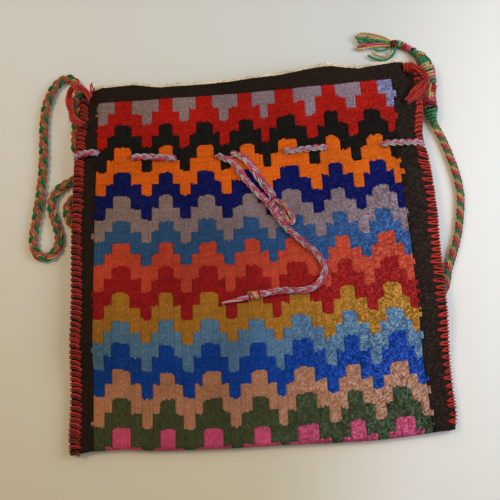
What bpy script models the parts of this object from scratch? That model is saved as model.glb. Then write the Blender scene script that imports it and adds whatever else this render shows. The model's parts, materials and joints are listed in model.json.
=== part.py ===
"""A small hand-woven shoulder bag, lying flat on its back.

One strip of slit tapestry is folded at the bottom and whip-stitched up both sides. The front
panel is built as it is woven: dark borders round stepped bands of coloured wool. A plaited
drawstring runs through slits below the mouth and a plaited strap is lashed to both corners.

Metres, X to the right, Y from the fold to the mouth, Z up. The bag rests on Z = 0.
"""

import math

import bmesh
import bpy
from mathutils import Vector

MM = 0.001
COLLECTION = "Woven_Shoulder_Bag"

# The bag as a whole
HALF_WIDTH = 126.2 * MM
FOLD_Y = -127.0 * MM
LEFT_MOUTH_Y = 117.4 * MM
RIGHT_MOUTH_Y = 123.4 * MM
LEFT_LEAN = 11.6 * MM
RIGHT_LEAN = 7.4 * MM

# The half width, in millimetres, of the bag on which the cords' routes are drawn
ROUTE_HALF_WIDTH = 126.2

# Clearances
TOUCH = 0.3 * MM
OVERRUN = 1.5 * MM

# The cloth and the way it lies over the strap beneath it
CLOTH = 2.6 * MM
STRAP_SPACE = 5.5 * MM
POCKET_GAP = 5.2 * MM
FOLD_RADIUS = 3.6 * MM
FOLD_STEPS = 8
RISE_START_Y = -90.0 * MM
RISE_END_Y = -50.0 * MM
FALL_START_Y = 83.0 * MM
FALL_END_Y = 108.0 * MM
POCKET_OPENS_Y = -62.0 * MM
PANEL_STEP = 8.0 * MM
PANEL_COLUMNS = 8

# The woven field, as a grid of steps
LEFT_BORDER = 15.8 * MM
RIGHT_BORDER = 23.9 * MM
HEAD_LEFT_Y = 106.5 * MM
HEAD_RIGHT_Y = 109.0 * MM
FIRST_VALLEY_SHARE = 3.0
VALLEY_SHARE = 2.8
STEP_SHARE = 2.35
PEAK_SHARE = 4.5
LAST_VALLEY_SHARE = 2.0
PEAKS = 7
FULL_ROWS = 26
LAST_ROW_SHARE = 1.25
FOLD_ROW_SHARE = 0.28
BANDS = (
    ("red_band", (0.45, 0.01, 0.006)),
    ("black_band", (0.006, 0.007, 0.006)),
    ("orange_band", (0.84, 0.15, 0.004)),
    ("navy_band", (0.002, 0.006, 0.07)),
    ("grey_mauve_band", (0.18, 0.13, 0.13)),
    ("steel_blue_band", (0.02, 0.10, 0.28)),
    ("coral_band", (0.58, 0.07, 0.04)),
    ("crimson_band", (0.28, 0.008, 0.012)),
    ("ochre_band", (0.34, 0.15, 0.015)),
    ("light_blue_band", (0.08, 0.21, 0.43)),
    ("royal_blue_band", (0.005, 0.04, 0.34)),
    ("tan_pink_band", (0.42, 0.17, 0.10)),
    ("dark_green_band", (0.02, 0.06, 0.025)),
    ("pink_band", (0.55, 0.04, 0.15)),
)
LILAC = (0.22, 0.17, 0.24)
DARK_WOOL = (0.014, 0.009, 0.006)
CREAM = (0.55, 0.48, 0.36)
RED_YARN = (0.42, 0.02, 0.01)
STRAP_GREEN = (0.05, 0.20, 0.07)
DRAWSTRING_PINK = (0.50, 0.12, 0.20)
TASSEL_TAN = (0.42, 0.26, 0.10)

# The stitched side seams
STITCH_REACH = 7.0 * MM
STITCH_WALL = 0.9 * MM

# The cord along the mouth
MOUTH_CORD_RADIUS = 1.4 * MM
MOUTH_POINTS = 24
MOUTH_WAVE = 1.2 * MM
MOUTH_WAVES = 1.5

# The drawstring
DRAWSTRING_RADIUS = 2.1 * MM
SLIT_LONG = 6.6 * MM
SLIT_WIDE = 5.4 * MM
SLIT_ROWS_DOWN = 6
END_SLIT_ROWS_DOWN = 5
TURN_RADIUS = 3.3 * MM
TURN_REACH = 7.5 * MM
LEVEL_STRETCH = 0.9 * MM
BACK_LINE_Y = 77.0 * MM
NOTCH = 3.4 * MM
NOTCH_Y = 64.0 * MM
NOTCH_SPREAD = 15.0 * MM
SLIT_COLUMNS = {
    "left": 1, "out_1": 4, "in_1": 8, "tail_1": 12, "tail_2": 14, "in_2": 19, "out_2": 23,
    "right": 28,
}
BACK_SLITS_X = (-70.0 * MM, -48.0 * MM, 30.0 * MM, 52.0 * MM)
ARC_POINTS = 3

# The tails of the drawstring, as points on the front panel
LONG_TAIL_ROUTE = (
    (-11.6, 56.4), (-8.2, 52.0), (-5.4, 47.0), (-1.6, 40.6), (4.0, 33.2),
    (9.6, 26.4), (14.2, 19.4), (18.6, 11.2), (25.2, 3.2), (32.6, -4.4), (39.0, -11.0),
    (43.0, -17.4), (43.4, -23.8), (40.6, -29.6), (35.6, -33.4), (29.0, -35.0), (21.8, -34.6),
    (14.4, -34.2), (6.3, -34.9), (0.6, -35.6),
)
SHORT_TAIL_ROUTE = (
    (1.4, 54.6), (4.2, 49.4), (7.6, 43.0), (11.6, 36.0), (15.6, 30.0),
)
LOOP_ROUTE = (
    (18.2, 27.4), (22.4, 27.2), (25.8, 23.8), (27.2, 18.6), (25.6, 13.8), (22.0, 13.8),
    (19.8, 18.2), (18.8, 22.6),
)
TIP_ROUTE = ((-6.4, -36.6), (-12.0, -37.6), (-18.0, -38.6), (-24.2, -39.6))
END_KNOT_ROUTE = ((-0.2, -35.7), (-2.8, -36.0), (-5.4, -36.4))
END_KNOT_SWELL_SHARES = (0.85, 1.35, 0.85)
TIP_SHARES = (0.85, 0.7, 0.5, 0.3)
LOOP_RADIUS = 1.7 * MM
LONG_TAIL_POINTS = 34
SHORT_TAIL_POINTS = 10
LOOP_POINTS = 16
TAIL_ACROSS_SHARE = 0.9
TAIL_GAP = 0.5 * MM
TAIL_STRAIGHT = 2.0 * MM

# The strap and what ties it
STRAP_RADIUS = 2.5 * MM
FLOOR_GAP = 0.1 * MM
STRAP_ROUTE = (
    (-119.5, 77.4), (-119.1, 86.0), (-118.8, 94.0), (-118.4, 102.0), (-118.1, 110.0),
    (-117.7, 117.0), (-117.8, 124.0), (-120.6, 130.6), (-126.6, 132.6), (-132.8, 128.6),
    (-137.6, 121.4), (-140.8, 112.0), (-142.2, 100.0), (-142.4, 84.0), (-142.8, 68.0),
    (-144.2, 52.0), (-146.4, 36.0), (-148.6, 22.0), (-149.2, 11.6), (-145.6, 4.2),
    (-138.8, 3.0), (-133.4, 8.2), (-132.0, 17.0), (-134.2, 26.0), (-136.6, 34.6),
    (-136.4, 43.0), (-131.6, 50.4), (-123.0, 55.6), (-110.0, 60.0), (-96.0, 60.4),
    (-87.0, 54.4), (-89.6, 45.8), (-100.0, 43.0), (-111.0, 45.6), (-119.6, 44.6),
    (-125.0, 38.8), (-126.2, 31.4), (-122.8, 24.4), (-114.0, 20.2), (-100.0, 22.4),
    (-86.0, 33.0), (-72.0, 47.0), (-56.0, 54.0), (-42.0, 46.0), (-35.0, 28.0),
    (-29.0, 6.0), (-18.0, -16.0), (-2.0, -28.0), (14.0, -22.0), (24.0, -2.0),
    (32.0, 22.0), (44.0, 40.0), (60.0, 44.0), (72.0, 32.0), (80.0, 12.0),
    (88.0, -12.0), (97.0, -31.0), (108.0, -41.6), (118.0, -43.4), (124.6, -38.2),
    (128.4, -27.0), (133.4, -15.6), (138.4, -3.4), (142.4, 11.4), (144.8, 25.0),
    (144.4, 39.0), (142.0, 53.0), (138.8, 66.0), (135.4, 76.0), (133.6, 81.2),
)
STRAP_POINTS = 78
BEND_LENGTH = 12.0 * MM
KNOT_ROUTE = (
    (133.2, 82.2), (132.8, 84.2), (132.4, 88.0), (132.4, 91.8), (132.6, 95.4), (134.2, 103.0),
    (135.6, 108.5), (134.6, 114.0), (133.0, 121.0), (132.4, 125.6), (131.0, 129.4),
    (129.6, 132.2),
)
KNOT_RADIUS = 4.4 * MM
KNOT_SHARES = (0.55, 0.62, 1.16, 1.05, 0.8, 0.86, 0.92, 0.98, 1.05, 1.02, 0.66, 0.6)
TASSEL_RADIUS = 2.6 * MM
TASSEL_ROUTE = ((129.3, 132.8), (127.6, 136.2), (122.6, 140.4), (117.0, 143.6), (111.4, 143.8))
TASSEL_SHARES = (1.0, 1.05, 1.25, 1.05, 1.05)
YARN_RADIUS = 1.1 * MM
YARN_POINTS = 10
YARN_ROUTES = (
    ("tassel_tan_yarn", (
        (110.9, 146.3), (107.4, 149.2), (101.0, 152.4), (94.6, 153.6), (88.6, 152.6),
    )),
    ("tassel_green_yarn", (
        (110.9, 143.8), (106.4, 145.2), (100.4, 147.0), (94.0, 147.6), (87.4, 148.6),
    )),
    ("tassel_red_yarn", (
        (110.9, 141.3), (105.6, 141.2), (99.0, 142.4), (92.0, 142.6), (85.6, 142.4),
    )),
    ("tassel_loop_yarn", (
        (114.4, 140.2), (112.8, 135.0), (106.0, 131.8), (98.6, 133.4), (92.2, 137.2),
    )),
)
LASHING_RADIUS = 1.3 * MM
LASHING_POINTS = 20
LEFT_LASHING_ROUTE = (
    (-104.6, 112.6, 1.0), (-109.8, 117.4, 1.02), (-115.6, 120.6, 0.82), (-119.6, 119.4, 0.4),
    (-121.8, 113.6, 0.18), (-122.0, 105.6, 0.18), (-120.8, 99.4, 0.44), (-119.2, 96.4, 0.82),
    (-115.8, 94.6, 1.07), (-110.6, 92.6, 1.0),
)
RIGHT_LASHING_ROUTE = (
    (112.4, 120.4, 1.0), (119.6, 117.0, 1.02), (126.6, 113.8, 1.02), (131.4, 110.6, 0.56),
    (131.8, 106.2, 0.56), (127.8, 102.2, 1.0), (121.0, 97.6, 1.02), (112.6, 91.2, 1.0),
)


def smooth(share):
    """A share from 0 to 1, eased at both ends."""
    share = min(max(share, 0.0), 1.0)
    return share * share * (3 - 2 * share)


def mix(low, high, share):
    return low + (high - low) * share


def height_share(y):
    """How far up the bag a point lies, from the fold to the right end of the mouth."""
    return (y - FOLD_Y) / (RIGHT_MOUTH_Y - FOLD_Y)


def left_edge(y):
    """The outer face of the left seam."""
    return -HALF_WIDTH + LEFT_LEAN * height_share(y)


def right_edge(y):
    """The outer face of the right seam, which the drawstring draws in."""
    drawn_in = NOTCH * math.exp(-(((y - NOTCH_Y) / NOTCH_SPREAD) ** 2))
    return HALF_WIDTH - RIGHT_LEAN * (1 - height_share(y)) - drawn_in


def back_under(y):
    """The underside of the back panel: on the table at both ends and over the strap between."""
    up = smooth((y - RISE_START_Y) / (RISE_END_Y - RISE_START_Y))
    down = smooth((y - FALL_START_Y) / (FALL_END_Y - FALL_START_Y))
    return STRAP_SPACE * (up - down)


def front_under(y):
    """The underside of the front panel, which stays up to leave the mouth open."""
    up = smooth((y - RISE_START_Y) / (RISE_END_Y - RISE_START_Y))
    fold_gap = 2 * FOLD_RADIUS - 2 * CLOTH
    open_share = smooth((y - butt_y()) / (POCKET_OPENS_Y - butt_y()))
    return STRAP_SPACE * up + CLOTH + mix(fold_gap, POCKET_GAP, open_share)


def front_top(y):
    return front_under(y) + CLOTH


def butt_y():
    """The line where the front panel meets the fold."""
    return FOLD_Y + FOLD_RADIUS + CLOTH / 2


def mouth_y(x):
    """The mouth's edge, which rises to the right in shallow waves."""
    across = (x + HALF_WIDTH) / (2 * HALF_WIDTH)
    wave = MOUTH_WAVE * math.sin(2 * math.pi * MOUTH_WAVES * across)
    return mix(LEFT_MOUTH_Y, RIGHT_MOUTH_Y, across) + wave


def stations(mouth):
    """Places up the back panel and its seams, from the end of the fold to the mouth."""
    foot = FOLD_Y + FOLD_RADIUS
    steps = round((RIGHT_MOUTH_Y - foot) / PANEL_STEP)
    return [mix(foot, mouth, step / steps) for step in range(steps + 1)]


def collection(name):
    made = bpy.data.collections.new(name)
    bpy.context.scene.collection.children.link(made)
    return made


def material(name, colour, roughness=0.9):
    made = bpy.data.materials.new(name)
    made.use_nodes = True
    shader = made.node_tree.nodes["Principled BSDF"]
    shader.inputs["Base Color"].default_value = (*colour, 1.0)
    shader.inputs["Roughness"].default_value = roughness
    shader.inputs["Metallic"].default_value = 0.0
    return made


def add_object(name, data, colour, parent=None):
    obj = bpy.data.objects.new(name, data)
    bpy.data.collections[COLLECTION].objects.link(obj)
    obj.data.materials.append(material(name + "_wool", colour))
    hold(obj, parent)
    return obj


def hold(obj, parent):
    """Parents an object to a joint's empty and leaves it where it is."""
    if parent is not None:
        obj.parent = parent
        obj.matrix_parent_inverse = parent.matrix_world.inverted()


def empty(name, place):
    """A joint's origin: the moving pieces are its children."""
    made = bpy.data.objects.new(name, None)
    bpy.data.collections[COLLECTION].objects.link(made)
    made.location = place
    bpy.context.view_layer.update()
    return made


def mesh_from(bm, name):
    bmesh.ops.recalc_face_normals(bm, faces=bm.faces)
    data = bpy.data.meshes.new(name)
    bm.to_mesh(data)
    bm.free()
    return data


def column_shares():
    """Widths of the field's columns: valleys, steps and peaks, in warps."""
    shares = [FIRST_VALLEY_SHARE]
    for peak in range(PEAKS):
        shares += [STEP_SHARE, PEAK_SHARE, STEP_SHARE, VALLEY_SHARE]
    shares[-1] = LAST_VALLEY_SHARE
    return shares


def column_lines():
    """Places of the columns' edges across the field, from 0 to 1."""
    shares = column_shares()
    lines = [0.0]
    for share in shares:
        lines.append(lines[-1] + share / sum(shares))
    return lines


def row_lines():
    """Places of the rows' edges down the field, from 0 at its head to 1 at the fold."""
    shares = [1.0] * FULL_ROWS + [LAST_ROW_SHARE, FOLD_ROW_SHARE]
    lines = [0.0]
    for share in shares:
        lines.append(lines[-1] + share / sum(shares))
    return lines


COLUMN_LINES = column_lines()
ROW_LINES = row_lines()
COLUMNS = len(COLUMN_LINES) + 1
ROWS = len(ROW_LINES)


def grid_point(column, row):
    """A corner of the weaving grid: column 0 and row 0 are the outer edges of the borders."""
    across = COLUMN_LINES[min(max(column - 1, 0), len(COLUMN_LINES) - 1)]
    head = mix(HEAD_LEFT_Y, HEAD_RIGHT_Y, across)
    y = mix(head, butt_y() + TOUCH / 2, ROW_LINES[max(row - 1, 0)])
    if row == 0:
        y = mix(LEFT_MOUTH_Y, RIGHT_MOUTH_Y, across)
    inner = STITCH_WALL + TOUCH / 2
    x = mix(left_edge(y) + LEFT_BORDER, HALF_WIDTH - RIGHT_BORDER, across)
    if column == 0:
        x = left_edge(y) + inner
    elif column == COLUMNS:
        x = right_edge(y) - inner
    return x, mouth_y(x) if row == 0 else y


def climb(column):
    """How many rows a column's stripes are raised: a valley 0, a step 1 and a peak 2."""
    return (0, 1, 2, 1)[(column - 1) % 4]


def colour_of(column, row):
    """Which piece of the weaving owns a cell of the grid."""
    if row == 0:
        return "top_border"
    if column == 0:
        return "left_border"
    if column == COLUMNS - 1:
        return "right_border"
    if row == ROWS - 1:
        return BANDS[-1][0]
    band = (row - 1 + climb(column)) // 2
    if band == 0:
        return f"lilac_block_{(column + 1) // 4 + 1}"
    return BANDS[band - 1][0]


def woven_piece(name, colour, parent):
    """One colour of the front panel: its cells of the grid, drawn in by half the slit, then
    lifted to the panel's height and given the cloth's thickness."""
    bm = bmesh.new()
    bmesh.ops.create_grid(bm, x_segments=COLUMNS, y_segments=ROWS, size=1)
    cells = {}
    for face in bm.faces:
        middle = face.calc_center_median()
        column = int((middle.x + 1) / 2 * COLUMNS)
        row = int((1 - middle.y) / 2 * ROWS)
        cells[face] = colour_of(column, row)
    others = [face for face, owner in cells.items() if owner != name]
    for vert in bm.verts:
        column = round((vert.co.x + 1) / 2 * COLUMNS)
        row = round((1 - vert.co.y) / 2 * ROWS)
        vert.co = (*grid_point(column, row), 0.0)
    bmesh.ops.delete(bm, geom=others, context="FACES")
    rim = bmesh.ops.inset_region(
        bm, faces=bm.faces[:], thickness=TOUCH / 2, use_boundary=True, use_even_offset=True
    )["faces"]
    bmesh.ops.delete(bm, geom=rim, context="FACES")
    for vert in bm.verts:
        vert.co.z = front_under(vert.co.y)
    raised = bmesh.ops.extrude_face_region(bm, geom=bm.faces[:], use_keep_orig=True)
    lifted = [part for part in raised["geom"] if isinstance(part, bmesh.types.BMVert)]
    bmesh.ops.translate(bm, verts=lifted, vec=(0, 0, CLOTH))
    return add_object(name, mesh_from(bm, name), colour, parent)


def front_panel(parent):
    """Every colour of the front, and the borders."""
    made = {}
    for name in ("left_border", "right_border", "top_border"):
        made[name] = woven_piece(name, DARK_WOOL, parent)
    for block in range(PEAKS + 1):
        name = f"lilac_block_{block + 1}"
        made[name] = woven_piece(name, LILAC, parent)
    for name, colour in BANDS:
        made[name] = woven_piece(name, colour, parent)
    return made


def loft(name, sections):
    """A strip through sections with the same corners: the first half of a section's corners
    runs along one face and the second half back along the other."""
    bm = bmesh.new()
    rings = [[bm.verts.new(corner) for corner in section] for section in sections]
    count = len(rings[0])
    for ring, after in zip(rings, rings[1:]):
        for corner in range(count):
            following = (corner + 1) % count
            bm.faces.new((ring[corner], ring[following], after[following], after[corner]))
    for ring in (rings[0], rings[-1]):
        for corner in range(count // 2 - 1):
            across = count - 1 - corner
            bm.faces.new((ring[corner], ring[corner + 1], ring[across - 1], ring[across]))
    return mesh_from(bm, name)


def panel_profile(mouth, depth):
    """The back panel from the mouth down and round the fold to the butt, at a depth within it:
    zero is the outer face and the cloth's thickness the inner one."""
    foot = FOLD_Y + FOLD_RADIUS
    radius = FOLD_RADIUS - depth
    points = [(y, back_under(y) + depth) for y in reversed(stations(mouth))]
    for step in range(1, FOLD_STEPS + 1):
        angle = math.pi * step / FOLD_STEPS
        points.append((foot - radius * math.sin(angle), FOLD_RADIUS - radius * math.cos(angle)))
    points.append((butt_y() - TOUCH / 2, FOLD_RADIUS + radius))
    return points


def panel_outline():
    """The panel's cross-section: shares of its width, steps in from its edges, and depths. The
    underside is set back along both edges, where the stitches lie."""
    raised = STITCH_WALL + TOUCH
    groove = STITCH_REACH - STITCH_WALL
    shares = [column / PANEL_COLUMNS for column in range(1, PANEL_COLUMNS)]
    lower = [(0, 0, raised), (0, groove, raised), (0, groove + TOUCH, 0)]
    lower += [(share, 0, 0) for share in shares]
    lower += [(1, -groove - TOUCH, 0), (1, -groove, raised), (1, 0, raised)]
    upper = [(share, inset, CLOTH) for share, inset, _ in reversed(lower)]
    return lower + upper


def back_panel():
    """The back and the fold, one sheet with the cloth's thickness."""
    inner = STITCH_WALL + TOUCH
    columns = []
    for share, inset, depth in panel_outline():
        at_mouth = mix(left_edge(LEFT_MOUTH_Y), right_edge(RIGHT_MOUTH_Y), share)
        column = []
        for y, z in panel_profile(mouth_y(at_mouth), depth):
            x = mix(left_edge(y) + inner, right_edge(y) - inner, share)
            column.append((x + inset, y, z))
        columns.append(column)
    return add_object("back_panel", loft("back_panel", list(zip(*columns))), DARK_WOOL)


def seam(name, edge, inward, mouth):
    """The whip stitches of one side, as a strip round the edges of both panels."""
    sections = []
    for y in stations(mouth):
        outer, low = edge(y), back_under(y)
        high = max(front_top(y), 2 * FOLD_RADIUS) + TOUCH + STITCH_WALL
        reach = outer + inward * STITCH_REACH
        wall = outer + inward * STITCH_WALL
        sections.append((
            (reach, y, low), (outer, y, low), (outer, y, high), (reach, y, high),
            (reach, y, high - STITCH_WALL), (wall, y, high - STITCH_WALL),
            (wall, y, low + STITCH_WALL), (reach, y, low + STITCH_WALL),
        ))
    return add_object(name, loft(name, sections), RED_YARN)


def add_cutter(name, data):
    obj = bpy.data.objects.new(name, data)
    bpy.data.collections["Cutters"].objects.link(obj)
    obj.hide_render = True
    obj.display_type = "WIRE"
    return obj


def slit_cutter(name, place, low, high):
    """A slit for the drawstring, as a box through one panel."""
    bm = bmesh.new()
    bmesh.ops.create_cube(bm, size=1)
    size = Vector((SLIT_LONG, SLIT_WIDE, high - low + 2 * OVERRUN))
    bmesh.ops.scale(bm, vec=size, verts=bm.verts)
    middle = Vector((place[0], place[1], (low + high) / 2))
    bmesh.ops.translate(bm, vec=middle, verts=bm.verts)
    return add_cutter(name, mesh_from(bm, name))


def cut(obj, cutter):
    modifier = obj.modifiers.new(cutter.name, "BOOLEAN")
    modifier.operation = "DIFFERENCE"
    modifier.solver = "EXACT"
    modifier.object = cutter


def tube(name, points, radius, colour, parent=None, shares=None):
    """A cord along its points, with round caps at both ends filled flat."""
    data = bpy.data.curves.new(name, "CURVE")
    data.dimensions = "3D"
    data.bevel_depth = radius
    data.bevel_resolution = 2
    data.use_fill_caps = True
    line = data.splines.new("POLY")
    line.points.add(len(points) - 1)
    for index, (point, place) in enumerate(zip(line.points, points)):
        point.co = (*place, 1.0)
        point.radius = 1.0 if shares is None else shares[index]
    line.use_smooth = True
    return add_object(name, data, colour, parent)


def curve_through(points, count):
    """Places on a smooth curve through the points of a route, closer together in its bends."""
    fine = []
    padded = [points[0] * 2 - points[1], *points, points[-1] * 2 - points[-2]]
    pieces = 12
    for a, b, c, d in zip(padded, padded[1:], padded[2:], padded[3:]):
        for step in range(pieces):
            t = step / pieces
            fine.append(
                (b * 2 + (c - a) * t + (a * 2 - b * 5 + c * 4 - d) * t * t
                 + (b * 3 - a - c * 3 + d) * t * t * t) / 2
            )
    fine.append(points[-1])
    steps = [second - first for first, second in zip(fine, fine[1:])]
    along = [0.0]
    for before, step in zip([steps[0], *steps], steps):
        along.append(along[-1] + step.length + BEND_LENGTH * step.angle(before))
    places, at = [], 0
    for step in range(count):
        want = along[-1] * step / (count - 1)
        while at < len(fine) - 2 and along[at + 1] < want:
            at += 1
        share = (want - along[at]) / (along[at + 1] - along[at])
        places.append(fine[at].lerp(fine[at + 1], share))
    return places, sum(step.length for step in steps)


def drawn(x, y, z):
    """A place on a route, moved out or in with the bag's width."""
    return Vector((x * HALF_WIDTH / ROUTE_HALF_WIDTH, y * MM, z))


def on_front(route, radius):
    """A route drawn on the front panel, lifted to lie on it."""
    return [drawn(x, y, front_top(y * MM) + TOUCH + radius) for x, y in route]


def on_table(route, radii):
    """A route on the table, lifted so that its cord lies on it all along."""
    return [drawn(x, y, FLOOR_GAP + radius) for (x, y), radius in zip(route, radii)]


def quarter(corner, before, after, radius):
    """Points on a quarter circle that leaves along before and arrives along after."""
    centre = corner - before * radius + after * radius
    points = []
    for step in range(ARC_POINTS + 1):
        angle = math.pi / 2 * step / ARC_POINTS
        points.append(centre + (before * math.sin(angle) - after * math.cos(angle)) * radius)
    return points


def through(place, low, high, heading_in, heading_out, upward):
    """A cord's way through a slit: level, a quarter turn, straight through, and level again."""
    lift = Vector((0, 0, 1)) if upward else Vector((0, 0, -1))
    start, end = (low, high) if upward else (high, low)
    radius = (high - low) / 2
    first = quarter(Vector((*place, start)), heading_in, lift, radius)
    second = quarter(Vector((*place, end)), lift, heading_out, radius)
    return first + second[1:]


RIGHTWARD = Vector((1, 0, 0))
LEFTWARD = Vector((-1, 0, 0))
TAIL_HEADING = Vector((TAIL_ACROSS_SHARE, -math.sqrt(1 - TAIL_ACROSS_SHARE**2), 0))


def slit_place(column, row):
    """The middle of a slit: on a column's edge, half way down a row."""
    x, y = grid_point(column, row)
    y_below = grid_point(column, row + 1)[1]
    return x, (y + y_below) / 2


def drawstring_levels():
    """Heights of the drawstring's middle under, between and over the panels."""
    plateau = (RISE_END_Y + FALL_START_Y) / 2
    under = STRAP_SPACE - TOUCH - DRAWSTRING_RADIUS
    between = STRAP_SPACE + CLOTH + POCKET_GAP / 2
    over = front_top(plateau) + TOUCH + DRAWSTRING_RADIUS
    return under, between, over


def seam_level():
    """The drawstring's height where it crosses a seam."""
    plateau = (RISE_END_Y + FALL_START_Y) / 2
    corner = front_top(plateau) + TOUCH + STITCH_WALL
    return corner - STITCH_WALL * 2 / 3 + TURN_RADIUS


def drawstring_fronts(parent, slits):
    """The two runs of the drawstring across the front, in and out of the slits."""
    _, between, over = drawstring_levels()
    left = slits["left"]
    start = Vector((left_edge(left[1]) + TURN_REACH + TOUCH, left[1], seam_level()))
    points = [start, start + RIGHTWARD * LEVEL_STRETCH]
    points += through(left, between, over, RIGHTWARD, RIGHTWARD, False)
    points += through(slits["out_1"], between, over, RIGHTWARD, RIGHTWARD, True)
    points += through(slits["in_1"], between, over, RIGHTWARD, RIGHTWARD, False)
    points += through(slits["tail_1"], between, over, RIGHTWARD, TAIL_HEADING, True)
    points.append(points[-1] + TAIL_HEADING * LEVEL_STRETCH)
    tube("drawstring_front_left", points, DRAWSTRING_RADIUS, DRAWSTRING_PINK, parent)
    right = slits["right"]
    start = Vector((right_edge(right[1]) - TURN_REACH - TOUCH, right[1], seam_level()))
    points = [start, start + LEFTWARD * LEVEL_STRETCH]
    points += through(right, between, over, LEFTWARD, LEFTWARD, False)
    points += through(slits["out_2"], between, over, LEFTWARD, LEFTWARD, True)
    points += through(slits["in_2"], between, over, LEFTWARD, LEFTWARD, False)
    points += through(slits["tail_2"], between, over, LEFTWARD, TAIL_HEADING, True)
    points.append(points[-1] + TAIL_HEADING * LEVEL_STRETCH)
    tube("drawstring_front_right", points, DRAWSTRING_RADIUS, DRAWSTRING_PINK, parent)


def edge_turn(name, edge, inward, y):
    """The drawstring's turn round a seam, from the front to the back."""
    under, _, _ = drawstring_levels()
    top = seam_level()
    outer = edge(y) + inward * (STITCH_WALL * 2 / 3) - inward * TURN_RADIUS
    out = Vector((-inward, 0, 0))
    down = Vector((0, 0, -1))
    start = Vector((edge(y) + inward * TURN_REACH, y, top))
    lower = STRAP_SPACE + STITCH_WALL * 2 / 3 - TURN_RADIUS
    points = [start]
    points += quarter(Vector((outer, y, top)), out, down, TURN_RADIUS)
    points += quarter(Vector((outer, y, lower)), down, out * -1, TURN_RADIUS)
    points.append(Vector((edge(y) + inward * TURN_REACH, y, lower)))
    tube(name, points, DRAWSTRING_RADIUS, DRAWSTRING_PINK)
    return lower


def drawstring_back(panel, left_y, right_y, level):
    """The run across the back: under the panel, and inside it between two pairs of slits."""
    under, between, _ = drawstring_levels()
    start = Vector((left_edge(left_y) + TURN_REACH + TOUCH, left_y, level))
    end = Vector((right_edge(right_y) - TURN_REACH - TOUCH, right_y, level))
    points = [start, start + RIGHTWARD * LEVEL_STRETCH]
    approach = 2 * TURN_REACH
    points.append(Vector((BACK_SLITS_X[0] - approach, BACK_LINE_Y, under)))
    for index, x in enumerate(BACK_SLITS_X):
        inward = index % 2 == 0
        low = STRAP_SPACE - TOUCH
        slit = slit_cutter(f"back_slit_{index + 1}", (x, BACK_LINE_Y), low, low + CLOTH)
        cut(panel, slit)
        points += through((x, BACK_LINE_Y), under, between, RIGHTWARD, RIGHTWARD, inward)
    points.append(Vector((BACK_SLITS_X[-1] + approach, BACK_LINE_Y, under)))
    points += [end + LEFTWARD * LEVEL_STRETCH, end]
    tube("drawstring_back", points, DRAWSTRING_RADIUS, DRAWSTRING_PINK)


def drawstring(panel, pieces, parent):
    """The drawstring all the way round, and the slits that it passes through."""
    slits = {}
    for name, column in SLIT_COLUMNS.items():
        row = END_SLIT_ROWS_DOWN if name == "left" else SLIT_ROWS_DOWN
        slits[name] = slit_place(column, row)
    for name, place in slits.items():
        low = front_under(place[1])
        cutter = slit_cutter(f"front_slit_{name}", place, low, low + CLOTH)
        for piece in ("left_border", "black_band", "orange_band", "right_border"):
            if crosses(pieces[piece], place):
                cut(pieces[piece], cutter)
    drawstring_fronts(parent, slits)
    level = edge_turn("drawstring_left_turn", left_edge, 1, slits["left"][1])
    edge_turn("drawstring_right_turn", right_edge, -1, slits["right"][1])
    drawstring_back(panel, slits["left"][1], slits["right"][1], level)
    return slits


def crosses(obj, place):
    """Whether a slit reaches any face of a piece."""
    for face in obj.data.polygons:
        corners = [obj.data.vertices[index].co for index in face.vertices]
        left = min(corner.x for corner in corners) - SLIT_LONG / 2
        right = max(corner.x for corner in corners) + SLIT_LONG / 2
        low = min(corner.y for corner in corners) - SLIT_WIDE / 2
        high = max(corner.y for corner in corners) + SLIT_WIDE / 2
        if left < place[0] < right and low < place[1] < high:
            return True
    return False


def tail_start(slit):
    """Where a tail goes on from the run that comes up through its slit."""
    _, between, over = drawstring_levels()
    reach = (over - between) / 2 + LEVEL_STRETCH + TAIL_GAP
    start = Vector((*slit, over)) + TAIL_HEADING * reach
    return [start, start + TAIL_HEADING * TAIL_STRAIGHT]


def drawstring_tails(parent, slits):
    """The two free ends on the front: the long tail with its end knot and tip, and the short
    tail with its hitched loop."""
    route = tail_start(slits["tail_1"]) + on_front(LONG_TAIL_ROUTE, DRAWSTRING_RADIUS)
    points, long = curve_through(route, LONG_TAIL_POINTS)
    tube("drawstring_long_tail", points, DRAWSTRING_RADIUS, DRAWSTRING_PINK, parent)
    route = tail_start(slits["tail_2"]) + on_front(SHORT_TAIL_ROUTE, DRAWSTRING_RADIUS)
    points, short = curve_through(route, SHORT_TAIL_POINTS)
    tube("drawstring_short_tail", points, DRAWSTRING_RADIUS, DRAWSTRING_PINK, parent)
    route = on_front(LOOP_ROUTE, DRAWSTRING_RADIUS)
    points, _ = curve_through(route, LOOP_POINTS)
    tube("drawstring_loop_knot", points, LOOP_RADIUS, DRAWSTRING_PINK, parent)
    route = on_front(END_KNOT_ROUTE, DRAWSTRING_RADIUS * max(END_KNOT_SWELL_SHARES))
    tube("drawstring_end_knot", route, DRAWSTRING_RADIUS, DRAWSTRING_PINK, parent,
         END_KNOT_SWELL_SHARES)
    route = on_front(TIP_ROUTE, DRAWSTRING_RADIUS)
    tube("drawstring_tip", route, DRAWSTRING_RADIUS, DRAWSTRING_PINK, parent, TIP_SHARES)
    print(f"drawstring tails {long:.3f} and {short:.3f} m")


def mouth_cords(front):
    """The twined cream ends of the warps, along each panel's mouth."""
    lift = {"front_mouth_edge": front, "back_mouth_edge": None}
    for name, parent in lift.items():
        points = []
        left = left_edge(LEFT_MOUTH_Y) + STITCH_REACH / 2
        right = right_edge(RIGHT_MOUTH_Y) - STITCH_REACH / 2
        for step in range(MOUTH_POINTS + 1):
            x = mix(left, right, step / MOUTH_POINTS)
            y = mouth_y(x)
            low = front_under(y) if parent else back_under(y)
            centre = low + max(CLOTH / 2, MOUTH_CORD_RADIUS + FLOOR_GAP)
            points.append(Vector((x, y + TOUCH + MOUTH_CORD_RADIUS, centre)))
        tube(name, points, MOUTH_CORD_RADIUS, CREAM, parent)


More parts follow.
